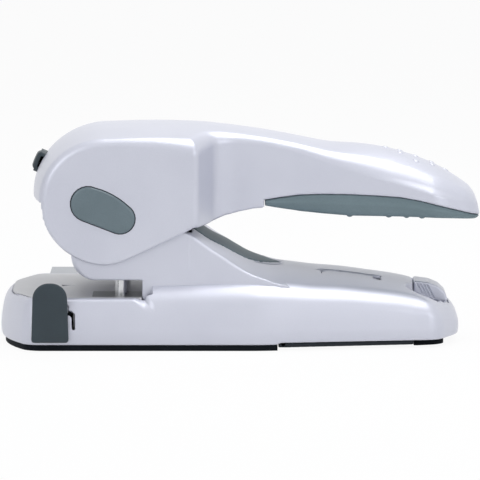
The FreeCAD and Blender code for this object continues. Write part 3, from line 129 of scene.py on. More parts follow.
class Outline:
    """Signed distance to a closed outline, looked up in a fine table."""

    def __init__(self, corners, cell=0.4, margin=9.0):
        loop = rounded(corners)
        self.cell = cell
        self.low = loop.min(0) - margin
        size = np.ceil((loop.max(0) + margin - self.low) / cell).astype(int) + 1
        u = (self.low[0] + cell * np.arange(size[0]))[:, None]
        v = (self.low[1] + cell * np.arange(size[1]))[None, :]
        nearest = np.full(tuple(size), 1e9)
        inside = np.zeros(tuple(size), bool)
        for a, b in zip(loop, np.roll(loop, -1, 0)):
            run = b - a
            if run @ run < 1e-12:
                continue
            t = np.clip(((u - a[0]) * run[0] + (v - a[1]) * run[1]) / (run @ run), 0, 1)
            nearest = np.minimum(nearest, (u - a[0] - run[0] * t) ** 2 + (v - a[1] - run[1] * t) ** 2)
            if run[1] != 0:
                crosses = (a[1] <= v) != (b[1] <= v)
                inside ^= crosses & (u < a[0] + (v - a[1]) * run[0] / run[1])
        self.table = np.where(inside, -1, 1) * np.sqrt(nearest)

    def __call__(self, u, v):
        rows, columns = self.table.shape
        s = np.clip((u - self.low[0]) / self.cell, 0, rows - 1.001)
        t = np.clip((v - self.low[1]) / self.cell, 0, columns - 1.001)
        i, j = s.astype(int), t.astype(int)
        s, t = s - i, t - j
        table = self.table
        return ((table[i, j] * (1 - s) + table[i + 1, j] * s) * (1 - t)
                + (table[i, j + 1] * (1 - s) + table[i + 1, j + 1] * s) * t)


def curve(*points):
    """A smooth line through points that rise in their first number."""
    px, py = np.array(points, float).T
    lean = np.gradient(py, px)
    x = np.linspace(px[0], px[-1], 60 * len(px))
    i = np.clip(np.searchsorted(px, x, side="right") - 1, 0, len(px) - 2)
    width = px[i + 1] - px[i]
    t = (x - px[i]) / width
    y = ((2 * t ** 3 - 3 * t ** 2 + 1) * py[i] + (t ** 3 - 2 * t ** 2 + t) * width * lean[i]
         + (3 * t ** 2 - 2 * t ** 3) * py[i + 1] + (t ** 3 - t ** 2) * width * lean[i + 1])
    return lambda v: np.interp(v, x, y)


def smooth(low, high, v):
    t = np.clip((v - low) / (high - low), 0, 1)
    return t * t * (3 - 2 * t)


# --- Polygonising ----------------------------------------------------------------------------------------------

def ticks(low, high, step, fine):
    """Grid lines from low to high, closer together in the fine stretches (from, to, step)."""
    lines = [low]
    while lines[-1] < high:
        here = step
        for start, end, close in fine:
            if start - step <= lines[-1] <= end:
                here = min(here, close)
        lines.append(lines[-1] + here)
    return np.array(lines)


def slope_of(field, points):
    """The field's value, its unit slope and the slope's size at points."""
    x, y, z = points.T
    here = field(x, y, z)
    slope = np.stack([field(x + PROBE, y, z) - field(x - PROBE, y, z),
                      field(x, y + PROBE, z) - field(x, y - PROBE, z),
                      field(x, y, z + PROBE) - field(x, y, z - PROBE)], 1) / (2 * PROBE)
    size = np.linalg.norm(slope, axis=1)
    size[size < 1e-6] = 1
    return here, slope / size[:, None], size


def skin(name, field, low, high, step=STEP, fine=((), (), ())):
    """A mesh of the field's zero surface: one point in each grid cell it crosses, relaxed and pulled back on."""
    lines = [ticks(low[a], high[a], step, fine[a]) for a in range(3)]
    x, y, z = lines
    values = field(x[:, None, None], y[None, :, None], z[None, None, :])
    values = np.broadcast_to(values, (len(x), len(y), len(z)))
    inside = values < 0
    cells = tuple(n - 1 for n in inside.shape)
    place = np.zeros(cells + (3,))
    share = np.zeros(cells)

    def part(array, offset):
        return array[tuple(slice(o, o + n) for o, n in zip(offset, cells))]

    for axis in range(3):
        first = [slice(None)] * 3
        second = [slice(None)] * 3
        first[axis] = slice(0, -1)
        second[axis] = slice(1, None)
        a, b = values[tuple(first)], values[tuple(second)]
        crosses = inside[tuple(first)] != inside[tuple(second)]
        t = np.where(crosses, a / np.where(crosses, a - b, 1), 0)
        shape = [1, 1, 1]
        shape[axis] = -1
        start = lines[axis][:-1].reshape(shape)
        length = np.diff(lines[axis]).reshape(shape)
        others = [o for o in range(3) if o != axis]
        for du in (0, 1):
            for dv in (0, 1):
                offset = [0, 0, 0]
                offset[others[0]], offset[others[1]] = du, dv
                hit = part(crosses, offset)
                share += hit
                place[..., axis] += hit * part(start + length * t, offset)
                for o, d in zip(others, (du, dv)):
                    shape_o = [1, 1, 1]
                    shape_o[o] = -1
                    place[..., o] += hit * lines[o][d:d + cells[o]].reshape(shape_o)
    active = share > 0
    number = np.full(cells, -1)
    number[active] = np.arange(active.sum())
    points = place[active] / share[active][:, None]

    quads = []
    for axis in range(3):
        b, c = (axis + 1) % 3, (axis + 2) % 3
        first = [slice(None)] * 3
        second = [slice(None)] * 3
        first[axis] = slice(0, -1)
        second[axis] = slice(1, None)
        enters = inside[tuple(first)]
        crosses = enters != inside[tuple(second)]
        at = np.argwhere(crosses)
        at = at[(at[:, b] > 0) & (at[:, c] > 0) & (at[:, b] < cells[b]) & (at[:, c] < cells[c])]
        one_b, one_c = np.eye(3, dtype=int)[b], np.eye(3, dtype=int)[c]
        loop = [at - one_b - one_c, at - one_c, at, at - one_b]
        ring = np.stack([number[tuple(p.T)] for p in loop], 1)
        outward = enters[tuple(at.T)]
        quads.append(np.where(outward[:, None], ring, ring[:, ::-1]))
    quads = np.concatenate(quads)

    for _ in range(RELAX_ROUNDS):
        centres = points[quads].mean(1)
        total = np.zeros_like(points)
        count = np.bincount(quads.ravel(), minlength=len(points))
        for a in range(3):
            total[:, a] = np.bincount(quads.ravel(), np.repeat(centres[:, a], 4), len(points))
        points = 0.5 * points + 0.5 * total / np.maximum(count, 1)[:, None]
        for _ in range(2):
            here, normal, size = slope_of(field, points)
            points = points - normal * np.clip(here / size, -0.5 * step, 0.5 * step)[:, None]
    here, normal, size = slope_of(field, points)
    return mesh_piece(name, points, quads, normal)


def mesh_piece(name, points, faces, normal=None):
    """An object from points in millimetres and faces that all have the same number of corners."""
    mesh = bpy.data.meshes.new(name)
    mesh.vertices.add(len(points))
    mesh.vertices.foreach_set("co", (points * 0.001).astype(np.float32).ravel())
    mesh.loops.add(faces.size)
    mesh.loops.foreach_set("vertex_index", faces.astype(np.int32).ravel())
    mesh.polygons.add(len(faces))
    corners = faces.shape[1]
    mesh.polygons.foreach_set("loop_start", np.arange(0, faces.size, corners, dtype=np.int32))
    mesh.update(calc_edges=True)
    mesh.validate()
    mesh.polygons.foreach_set("use_smooth", np.ones(len(mesh.polygons), bool))
    if normal is not None and len(mesh.vertices) == len(points):
        mesh.normals_split_custom_set_from_vertices(normal)
    piece = bpy.data.objects.new(name, mesh)
    bpy.context.scene.collection.objects.link(piece)
    return piece


# --- Materials -------------------------------------------------------------------------------------------------

def linear(r, g, b):
    """An sRGB colour, 0 to 255, as Blender's linear colour."""
    out = []
    for v in (r, g, b):
        v /= 255
        out.append(v / 12.92 if v <= 0.04045 else ((v + 0.055) / 1.055) ** 2.4)
    return tuple(out) + (1.0,)


ROUGH_SWING = 0.06   # how far the roughness strays to either side
COAT_ROUGHNESS = 0.22
GRAIN_HEIGHT = 0.0002  # metres


def material(name, light, dark, roughness, metallic=0.0, coat=0.0, grain=900.0, bump=0.05, cloud=40.0,
             brushed=None, specular=0.5):
    """A surface whose colour, roughness and relief all vary: slow clouding, and a fine grain in the bump."""
    made = bpy.data.materials.new(name)
    made.use_nodes = True
    tree = made.node_tree
    shader = tree.nodes["Principled BSDF"]
    shader.inputs["Metallic"].default_value = metallic
    shader.inputs["Coat Weight"].default_value = coat
    shader.inputs["Coat Roughness"].default_value = COAT_ROUGHNESS
    shader.inputs["Specular IOR Level"].default_value = specular
    place = tree.nodes.new("ShaderNodeTexCoord")
    source = place.outputs["Object"]
    if brushed:
        stretch = tree.nodes.new("ShaderNodeMapping")
        stretch.inputs["Scale"].default_value = brushed
        tree.links.new(source, stretch.inputs["Vector"])
        fine_source = stretch.outputs["Vector"]
    else:
        fine_source = source
    slow = tree.nodes.new("ShaderNodeTexNoise")
    slow.inputs["Scale"].default_value = cloud
    slow.inputs["Detail"].default_value = 3.0
    tree.links.new(source, slow.inputs["Vector"])
    fine = tree.nodes.new("ShaderNodeTexNoise")
    fine.inputs["Scale"].default_value = grain
    fine.inputs["Detail"].default_value = 2.0
    tree.links.new(fine_source, fine.inputs["Vector"])
    blend = tree.nodes.new("ShaderNodeMath")
    blend.operation = "MULTIPLY_ADD"
    blend.inputs[1].default_value = 0.45
    tree.links.new(fine.outputs["Fac"], blend.inputs[0])
    half = tree.nodes.new("ShaderNodeMath")
    half.operation = "MULTIPLY"
    half.inputs[1].default_value = 0.55
    tree.links.new(slow.outputs["Fac"], half.inputs[0])
    tree.links.new(half.outputs[0], blend.inputs[2])
    ramp = tree.nodes.new("ShaderNodeValToRGB")
    ramp.color_ramp.elements[0].position = 0.3
    ramp.color_ramp.elements[1].position = 0.7
    ramp.color_ramp.elements[0].color = dark
    ramp.color_ramp.elements[1].color = light
    tree.links.new(blend.outputs[0], ramp.inputs["Fac"])
    tree.links.new(ramp.outputs["Color"], shader.inputs["Base Color"])
    rough = tree.nodes.new("ShaderNodeMapRange")
    rough.inputs["To Min"].default_value = roughness - ROUGH_SWING
    rough.inputs["To Max"].default_value = roughness + ROUGH_SWING
    tree.links.new(blend.outputs[0], rough.inputs["Value"])
    tree.links.new(rough.outputs["Result"], shader.inputs["Roughness"])
    relief = tree.nodes.new("ShaderNodeBump")
    relief.inputs["Strength"].default_value = bump
    relief.inputs["Distance"].default_value = GRAIN_HEIGHT
    tree.links.new(fine.outputs["Fac"], relief.inputs["Height"])
    tree.links.new(relief.outputs["Normal"], shader.inputs["Normal"])
    return made


MATERIALS = {
    "silver": material("silver", linear(208, 210, 221), linear(200, 202, 214), 0.4, metallic=0.35, coat=0.2,
                       grain=2600, bump=0.03, cloud=30),
    "dark_grip": material("dark_grip", linear(114, 132, 138), linear(101, 119, 125), 0.55, grain=1500, bump=0.25,
                          cloud=60),
    "dark_plastic": material("dark_plastic", linear(41, 56, 64), linear(33, 47, 55), 0.42, grain=1800, bump=0.12,
                             cloud=70),
    "cap_plastic": material("cap_plastic", linear(102, 119, 126), linear(92, 109, 116), 0.32, coat=0.3, grain=1600,
                            bump=0.06, cloud=80),
    "black_plastic": material("black_plastic", linear(38, 44, 50), linear(28, 34, 40), 0.6, grain=1500, bump=0.2,
                              cloud=60, specular=0.25),
    "rubber": material("rubber", linear(20, 25, 31), linear(13, 18, 23), 0.8, grain=1100, bump=0.4, cloud=90,
                       specular=0.12),
    "table_metal": material("table_metal", linear(200, 201, 204), linear(186, 187, 191), 0.4, metallic=0.6,
                            grain=700, bump=0.06, cloud=50, brushed=(12, 1, 1)),
    "steel": material("steel", linear(186, 188, 192), linear(160, 162, 166), 0.34, metallic=1.0, grain=500,
                      bump=0.1, cloud=60, brushed=(1, 1, 14)),
    "hard_steel": material("hard_steel", linear(215, 216, 218), linear(196, 197, 200), 0.16, metallic=1.0,
                           grain=600, bump=0.05, cloud=90, brushed=(1, 1, 20)),
    "die_steel": material("die_steel", linear(112, 116, 119), linear(92, 96, 100), 0.36, metallic=0.8, grain=900,
                          bump=0.12, cloud=90),
    "spring_steel": material("spring_steel", linear(170, 172, 176), linear(140, 142, 147), 0.25, metallic=1.0,
                             grain=900, bump=0.05, cloud=150),
    "bush_brass": material("bush_brass", linear(190, 160, 105), linear(165, 135, 82), 0.3, metallic=1.0,
                           grain=900, bump=0.08, cloud=120),
    "guide_aluminium": material("guide_aluminium", linear(172, 176, 182), linear(148, 152, 160), 0.36,
                                metallic=0.85, grain=500, bump=0.1, cloud=50, brushed=(1, 14, 1)),
}
for sub in frame["record"]["subparts"]:
    materials = nodes[sub["node"]].data.materials
    materials.clear()
    materials.append(MATERIALS[sub["material_slot"]])


def finish_piece(piece, slot, body, *replaced):
    """Gives a piece its material, the body it moves with and the CAD nodes that it stands for."""
    piece.data.materials.append(MATERIALS[slot])
    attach(piece, body)
    if replaced:
        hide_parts(*replaced)
    return piece


# --- Lever -----------------------------------------------------------------------------------------------------

# The lever's lines along x: height of its top, how that bends down across it, its slope, and its lower edge.
crown_line = curve((-76, 124.7), (-60, 125.3), (-46, 125.5), (-32, 125.35), (-22.7, 125.1), (-13.4, 124.4),
                   (-4, 123.4), (5, 122.2), (14.5, 120.8), (24, 119.2), (33, 117.5), (42.4, 115.7), (51, 114.3),
                   (58, 113.7), (65.7, 113.4), (72, 112.9), (80, 111.8), (89, 110.0), (98.3, 107.2), (107.6, 103.8),
                   (117, 99.4), (126, 93.9), (131, 90.4), (136, 86.6), (141, 82.5))
crown_bend = curve((-76, .00143), (-40, .00165), (-24, .0020), (-8, .0026), (24, .0028), (43, .0036), (56, .0050),
                   (70, .0070), (85, .0092), (100, .0100), (115, .0098), (128, .0086), (141, .0076))
crown_lean = curve(*[(x, (crown_line(x + 1) - crown_line(x - 1)) / 2) for x in range(-74, 140, 6)])
lever_plan = Outline(both_sides([
    (-150, -LEVER_HALF), (-23.4, -LEVER_HALF, 4.5), (-19.5, -45, 8), (-14.5, -33, 9), (-4, -28.5, 30),
    (32, -28.5, 45), (62, -32.4, 60), (90, -33.2, 80), (116, -32.4, 26), (139.3, -20.5, 15)]))
shell_edge = curve((14.5, 83), (35, 86), (61, 86.6), (93, 85), (115, 80), (128, 76.3), (139.5, 73))
lever_side = Outline([(-150, 150), (-150, 48.45), (-76, 48.45), (-71, 49.1), (-66, 50.7), (-61, 52.9),
                      (-25.5, 69.7, 4), (-18, 70.4, 8), (-9, 74), (0, 76.3), (8, 78), (14.5, 78.6), (14.5, 83),
                      (24, 84.6), (35, 86), (48, 86.6), (61, 86.6), (77, 86), (93, 84.9), (104, 82.8), (115, 80),
                      (128, 76.3), (139.5, 73), (148, 70), (148, 150)])
fillet = curve((-120, 4.5), (-60, 4.5), (-34, 6.5), (-24, 8), (-10, 6), (10, 4.5), (40, 5), (65, 7), (90, 8.5),
               (118, 8), (130, 4.5), (141, 3.5))


def lever_top(x, y):
    """Height of the lever's crowned top."""
    return crown_line(x) - crown_bend(x) * y ** 2


def lever_cover(x, y, z):
    """Distance outside the crowned top and the round front of the head."""
    k = np.clip(1 - (y / LEVER_HALF) ** 2, -0.2, 1)
    wide = 37.5 + 5.5 * k
    tall = np.where(z > HEAD[1], 34.2 + 4.5 * k, 37.5)
    u, v = (x - HEAD[0]) / wide, (z - HEAD[1]) / tall
    q = np.sqrt(u ** 2 + v ** 2) + 1e-9
    front = (q - 1) * q / (np.hypot(u / wide, v / tall) + 1e-9)
    lean = np.where(x > -72, crown_lean(x), 0)
    bend = crown_bend(x)
    top = (z - crown_line(x) + bend * y ** 2) / np.sqrt(1 + lean ** 2 + (2 * bend * y) ** 2)
    return np.where(x <= HEAD[0], front, top)


def lever_sides(x, y, z):
    """Distance outside the lever's sides, which lean in towards its end."""
    low = shell_edge(np.clip(x, 14.5, 139))
    draft = np.interp(x, (20, 60, 112, 132), (0, 0.02, 0.06, 0.22))
    return lever_plan(x, y) + draft * (z - low)


def button_frame(x, z):
    """Distances along and across the lock button's axis."""
    c, s = math.cos(math.radians(23)), math.sin(math.radians(23))
    u, w = x + 112.3, z - 101.8
    return u * c - w * s, u * s + w * c


def lever_shell(x, y, z):
    """The handle's cover: hollow over the punch head, whole along the handle, with the lock button's window."""
    cover = lever_cover(x, y, z)
    side = lever_sides(x, y, z)
    below = lever_side(x, z)
    low = np.where(x < -24, 60.0, np.interp(x, (-24, 0, 14.5), (70, 76, 80)))
    low = np.where(x > 14.5, shell_edge(np.clip(x, 14.5, 139)), low)
    top = crown_line(np.clip(x, -76, 141))
    share = (z - low) / np.maximum(top - low, 1)
    r = 0.9 + (fillet(x) - 0.9) * smooth(0.05, 0.45, share)
    outer = meet(np.maximum(cover, below), side, r)
    inner_side, back = np.abs(y) - (LEVER_HALF - 2.2), x + 26.5
    room = np.maximum(meet(cover + 2.8, inner_side, r + 1), back)
    mouth = np.maximum(np.maximum(inner_side, z - 84), back)
    shell = less(outer, np.minimum(room, mouth), 0.7)
    along, across = button_frame(x, z)
    window = block(along, y, across, (-12, -7.3, -5.8), (7, 7.3, 5.8), 2.6)
    return less(shell, window, 0.3)


def cap_outline(grow):
    """The egg round the pivot and the drive axle, from the side, with a bulge along its upper side."""
    loop = []
    for (cx, cz), radius, start, sweep in ((PIVOT, 10.0 + grow, 64, 185), (DRIVE, 8.6 + grow, -111, 169)):
        for step in range(13):
            turn = math.radians(start + step * sweep / 12)
            loop.append((cx + radius * math.cos(turn), cz + radius * math.sin(turn)))
    ends = loop[-1], loop[0]
    for share in (0.15, 0.3, 0.5, 0.7, 0.85):
        bulge = 1.3 * (1 - (2 * share - 1) ** 2)
        loop.append(tuple(a + (b - a) * share + bulge * n for a, b, n in zip(*ends, (0.44, 0.9))))
    return loop


def make_cap_gap_shade(name, side):
    """A dark ribbon of painted shade along the joint round the cap, where the joint lies in shadow; it is wider at
    a small slot for prying the cap off.
    """
    inner, outer = cap_outline(-0.4), cap_outline(0.42)
    points, faces = [], []
    for (ax, az), (bx, bz) in zip(inner, outer):
        # painted shade: the ribbon widens where the pry slot's hollow lies in shadow
        slot = 0.9 * math.exp(-((bx + 78.6) / 2.4) ** 6) * (bz < 78)
        run = math.hypot(bx - ax, bz - az)
        reach = 1 + slot / run
        low, high = LEVER_HALF - 1.6, LEVER_HALF + 0.12
        for out, share in ((low, 0), (high, 0), (high, reach), (low, reach)):
            points.append((ax + (bx - ax) * share, side * out, az + (bz - az) * share))
    count = len(inner)
    for i in range(count):
        a, b = 4 * i, 4 * ((i + 1) % count)
        for k in range(4):
            ring = (a + k, a + (k + 1) % 4, b + (k + 1) % 4, b + k)
            faces.append(ring if side > 0 else ring[::-1])
    line = mesh_piece(name, np.array(points), np.array(faces))
    line.data.polygons.foreach_set("use_smooth", np.zeros(len(line.data.polygons), bool))
    # painted shade: the ribbon takes the dark black plastic colour to stand for the shadow in the joint
    finish_piece(line, "black_plastic", "lever")


def make_lever():
    """The skin of the lever's cover, with a finer grid where it narrows behind the head."""
    shell = skin("lever_skin", lever_shell, (-122, -59, 45), (142, 59, 128),
                 fine=(((-30, 20, 0.9),), (), ()))
    finish_piece(shell, "silver", "lever", "handle_shell")


def make_caps():
    """The shallow domed caps over the axles. The near one stands for the CAD node of both."""
    oval = Outline(cap_outline(0), cell=0.2, margin=4)

    def cap(side):
        def field(x, y, z):
            out = side * y
            dome = 57.5 - 0.0014 * ((x + 77) ** 2 + (z - 79) ** 2)
            return meet(oval(x, z), np.maximum(out - dome, 54.0 - out), 1.5)
        return field

    for side, end, replaced, span in ((-1, "near", ["handle_caps"], (-58, -53)), (1, "far", [], (53, 58))):
        piece = skin("cap_skin_" + end, cap(side), (-99, span[0], 63), (-56, span[1], 97), 0.5)
        finish_piece(piece, "cap_plastic", "lever", *replaced)
        # a dark ribbon of painted shade round each cap's joint
        make_cap_gap_shade("cap_gap_shade_" + end, side)


def make_dots():
    """Nine small raised dots on the palm rest, each a low half ball."""
    places = [(x, 0.0) for x in (85, 102.5, 120)] + [(x, y) for x in (93.5, 112) for y in (-6.3, 6.3)]
    places += [(102.5, y) for y in (-12.6, 12.6)]
    points, faces = [], []
    rings, turns = 5, 20
    dot_radius, dot_height, sunk = 1.9, 0.75, 0.12
    for cx, cy in places:
        start = len(points)
        for ring in range(rings + 1):
            radius = dot_radius * math.cos(ring / rings * math.pi / 2)
            rise = dot_height * math.sin(ring / rings * math.pi / 2)
            for turn in range(turns):
                a = 2 * math.pi * turn / turns
                x, y = cx + radius * math.cos(a), cy + radius * math.sin(a)
                points.append((x, y, float(lever_top(x, y)) - sunk + rise))
        for ring in range(rings):
            for turn in range(turns):
                after = (turn + 1) % turns
                a, b = start + ring * turns, start + (ring + 1) * turns
                faces.append((a + turn, a + after, b + after, b + turn))
    dots = mesh_piece("palm_dots", np.array(points), np.array(faces))
    finish_piece(dots, "silver", "lever")


def make_grip():
    """The soft pad under the palm rest, with a soft ridge along its side and bumps and screw wells below."""
    side_view = Outline([(14.8, 82.8), (24, 84.3), (35, 85.75), (48, 86.4), (61, 86.4), (77, 85.8), (93, 84.7),
                         (104, 82.6), (115, 79.8), (128, 76.1), (139, 72.9), (139, 71.5), (136, 71.2),
                         (120, 72.2), (104, 73), (93, 73.4), (78, 73.7), (64, 73.9), (48, 75), (35, 76.2),
                         (24, 77.9), (15.0, 79.5)])
    floor = curve((15, 79.6), (35, 76.2), (64, 73.9), (93, 73.4), (104, 73), (120, 72.2), (139, 71.3))

    def field(x, y, z):
        top = shell_edge(np.clip(x, 14.5, 139))
        low = floor(x)
        share = (z - low) / np.maximum(top - low, 1)
        swell = 0.55 * np.exp(-((share - 0.52) / 0.16) ** 2)
        sides = lever_plan(x, y) + 0.95 - swell
        r = np.where(share > 0.6, 0.35, np.clip((top - low) * 0.45, 0.5, 4.0))
        body = meet(side_view(x, z), sides, r)
        for bump_x in (63.8, 86.3, 96.5, 105.5):
            bump_z = floor(np.array(bump_x)) + 1.2
            body = join(body, ball(x, np.abs(y), z, (bump_x, 24, bump_z), 2.4), 0.4)
        for screw_x in (63, 104):
            well = np.maximum(np.hypot(x - screw_x, y) - 4.4, z - floor(np.array(screw_x)) - 2)
            body = less(body, well, 0.3)
        return body

    grip = skin("grip_skin", field, (13.5, -36, 69.5), (141, 36, 88), STEP * 0.8)
    finish_piece(grip, "dark_grip", "lever", "grip_insert")


def make_button():
    """The lock button at the front of the head."""
    def field(x, y, z):
        along, across = button_frame(x, z)
        dome = 0.016 * (y ** 2 + across ** 2)
        return block(along - dome, y, across, (-6.9, -7.0, -5.5), (6, 7.0, 5.5), 2.0)

    button = skin("button_skin", field, (-122, -8, 94), (-102, 8, 116), 0.36)
    finish_piece(button, "dark_plastic", "lock_button")


# --- Surfaces of the base ---------------------------------------------------------------------------------------

# From above: the base and its top plate. Along x: height of the base's edge, and along z: how its sides draw in.
base_plan = Outline(both_sides([(-138, -30, 110), (-122, -65, 13), (12, -65, 80), (115.5, -49, 13),
                                (127, -22, 35)]))
table_plan = Outline(both_sides([(-131, -26, 60), (-117.8, -58, 10), (-50, -58)]))
base_edge = curve((-60, 32.3), (27, 32.3), (41.6, 30.5), (57.7, 29.2), (75.2, 26.9), (92, 24.4), (101, 22.4),
                  (110, 18.9), (119, 12.2), (125, 8.2), (131, 3.5))
belly = curve((0, 2.4), (3.4, 1.0), (6, 0.25), (9, 0.0), (14, 0.35), (20, 1.2), (26, 2.6), (31, 4.2),
              (36, 6.2), (46, 10.5))
# The hook-shaped groove beside the paper guide, from the side.
hook = rounded([(-99.0, 21.7), (-94.7, 21.5, 2.4), (-94.4, 13.0), (-94.4, 12.99)])


def base_surface(x, y):
    """Height of the base's crowned top."""
    return base_edge(x) + BASE_CROWN * (1 - (y / BASE_HALF) ** 2)


def base_over(x, y, z, drop=0.0):
    """Distance above the base's top, or above a surface that lies the drop below it."""
    lean = base_edge(x + 0.5) - base_edge(x - 0.5)
    return (z - base_surface(x, y)) / np.sqrt(1 + lean ** 2 + (0.005 * y) ** 2) + drop


# --- Tower -----------------------------------------------------------------------------------------------------

tower_front = Outline([(-96, 39.4, 14), (-96, 92, 4), (-74.1, 92, 8), (-57, 83, 8), (-27, 65.5), (-27, 28),
                       (-55.4, 28), (-55.4, 39.4)])
slope_edge = curve((-30, 67.6), (-27, 65.5), (-16.8, 58), (-8, 52.2), (6.3, 43.1), (15, 39.8), (27, 37.2),
                   (34, 36))
slope_rise = curve((-30, 1.4), (-27, 1.5), (-16.8, 2.3), (-8, 4), (6.3, 5.5), (15, 6), (27, 6.5), (34, 6.5))


def slope_surface(x, y, lift):
    """Height of the back slope, which runs out into the base's top, the lift above it."""
    foot = smooth(14, 26.5, x)
    slope = slope_edge(x) + slope_rise(x) * (1 - (y / TOWER_HALF) ** 2)
    return slope * (1 - foot) + (base_surface(x, y) + lift) * foot


def slope_lean(x):
    """How steeply the back slope falls along x."""
    return slope_edge(x + 0.5) - slope_edge(x - 0.5)


def spine_plan(x, y):
    """Distance from above to the dark strip: straight sides and a blunt point at the slope's foot."""
    across = np.hypot(y, 2.5)
    point = (x - 25.8) * 0.745 + across * 0.667
    return meet(across - 24.1, point, 9)


def make_tower():
    """The cover over the punch frame and the back slope, which sinks under the base's top at its foot."""
    def field(x, y, z):
        surface = slope_surface(x, y, 0.05 - 0.9 * smooth(26.4, 28.6, x))
        crease = spine_plan(x, y) - 3.8
        surface = surface - 1.2 * np.exp(-(crease / 1.3) ** 2) * smooth(6, 12, x) * (1 - smooth(23, 27, x))
        slope = (z - surface) / np.sqrt(1 + slope_lean(x) ** 2)
        slope = np.maximum(np.maximum(slope, np.abs(x) - 29), 28 - z)
        body = np.minimum(tower_front(x, z), slope)
        r = np.interp(x, (-90, -60, -30, 8, 25), (3.2, 2.2, 2.0, 2.0, 0.3)) * np.interp(z, (38, 48), (0.35, 1))
        outer = meet(body, np.abs(y) - TOWER_HALF, r)
        room = block(x, y, z, (-93.8, -50.8, 41.6), (-27.5, 50.8, 140), 8)
        low_room = block(x, y, z, (-53.2, -50.8, 20), (-27.5, 50.8, 60), 2)
        shell = less(outer, np.minimum(room, low_room), 0.5)
        strip = np.maximum(spine_plan(x, y) - 0.3, surface - 2.6 - z)
        strip = np.maximum(strip, -27.2 - x)
        pins = np.hypot(x - TOWER_PIN[0], np.abs(y) - TOWER_PIN[1]) - 5
        pins = np.maximum(pins, z - 60)
        return less(less(shell, strip, 0.3), pins, 0.3)

    tower = skin("tower_skin", field, (-99, -56, 26), (31, 56, 95),
                 fine=(((20, 30, 0.7),), (), ((36, 44, 0.8),)))
    finish_piece(tower, "silver", "base", "tower_housing")


def make_spine():
    """The dark strip down the back slope, a little proud of it."""
    def field(x, y, z):
        top = (z - slope_surface(x, y, 0.04) - 0.25) / np.sqrt(1 + slope_lean(x) ** 2)
        body = np.maximum(top, -top - 2.4)
        return meet(meet(body, spine_plan(x, y), 0.6), -26.2 - x, 0.6)

    spine = skin("spine_skin", field, (-28, -25.5, 34), (26, 25.5, 71), STEP * 0.75)
    finish_piece(spine, "dark_grip", "base", "slope_spine")


# --- Base ------------------------------------------------------------------------------------------------------

def scoops(x, y, z, grow=0.0):
    """The two finger hollows beside the latch."""
    return np.sqrt((x - 109) ** 2 + (np.abs(y) - 24.5) ** 2 + (z - 35) ** 2) - 13 - grow


def pocket(x, y, z, grow=0.0):
    """The sunk place round the latch, whose floor follows the base's top."""
    side = block(x, y, z, (100.4 - grow, -22 - grow, 0), (118.4 + grow, 22 + grow, 80), 3)
    return np.maximum(side, -base_over(x, y, z, 7.5 + grow))


def stroke(x, z, path, radius):
    """A line of round ends, from the side."""
    near = None
    for a, b in zip(path[:-1], path[1:]):
        run = b - a
        t = np.clip(((x - a[0]) * run[0] + (z - a[1]) * run[1]) / max(run @ run, 1e-9), 0, 1)
        here = np.hypot(x - a[0] - run[0] * t, z - a[1] - run[1] * t)
        near = here if near is None else np.minimum(near, here)
    return near - radius


def nail_notch(x, y):
    """The little diamond at the lid's edge that lets a nail in."""
    return (np.abs(x - 47.6) + np.abs(y + 13)) * 0.7071 - 2.0


def make_base():
    """The body of the base: a thin shell, with its plate's place, slots, wells and the openings of its parts."""
    def field(x, y, z):
        plan = (base_plan(x, y) + belly(z)) * 0.97
        table = np.maximum(z - TABLE_TOP, x - 20)
        over = base_over(x, y, z)
        high = np.maximum(over, -55.4 - x)
        r = np.interp(x, (-138, -124, -112, -60, -54, 100, 115), (7, 3.6, 2.4, 2.2, 8, 8, 4.5))
        outer = meet(np.minimum(table, high), plan, r)
        outer = meet(outer, 3.4 + 1.1 * smooth(20.5, 24.5, x) - z, 1.0)
        room = np.minimum(np.maximum(z - 26.2, x - 20), np.maximum(over + BASE_WALL, -52.9 - x))
        room = meet(room, plan + BASE_WALL, r + 0.5)
        latch_guide = block(x, y, z, (100.5, -10.8, 18), (117.5, 10.8, 60))
        room = less(less(less(room, scoops(x, y, z, BASE_WALL)), latch_guide), pocket(x, y, z, BASE_WALL))
        shelf = block(x, y, z, (101, -40, 3), (119, 40, 7.5))
        room = less(room, shelf)
        shell = less(outer, room, 0.3)
        shell = less(shell, np.maximum(table_plan(x, y) - 0.15, 28.3 - z), 0.3)
        shell = less(shell, block(x, y, z, (-57, -52.4, 26), (26.0, 52.4, 90)), 0.1)
        windows = block(x, y, z, (-113.9, -80, 22.2), (-97.3, 80, 25.6))
        hook_slot = np.maximum(stroke(x, z, hook, 0.85 + 0.4 * smooth(18, 21, z)), y + 54)
        for window in (block(x, np.abs(y), z, (-84, 27, 22.9), (-55.9, 53, 32)),
                       hook_slot,
                       block(x, y, z, (103, -8.3, 7.6), (112, 8.3, 60)),
                       block(x, y, z, (47.5, -22, 10), (81.9, -10, 60), 0.8),
                       block(x, y, z, (116, -12.5, 20.9), (121.4, 12.5, 60)),
                       np.maximum(nail_notch(x, y), -over - 1.2)):
            windows = np.minimum(windows, window)
        shell = less(shell, windows, 0.25)
        return less(shell, np.minimum(scoops(x, y, z), pocket(x, y, z)), 0.8)

    base = skin("base_skin", field, (-140, -67, 2), (130, 67, 46), STEP * 0.95,
                fine=(((-100, -92, 0.6), (24, 30, 0.7), (98, 124, 0.8)), (), ((2, 6, 0.5),)))
    finish_piece(base, "silver", "base", "base_housing")


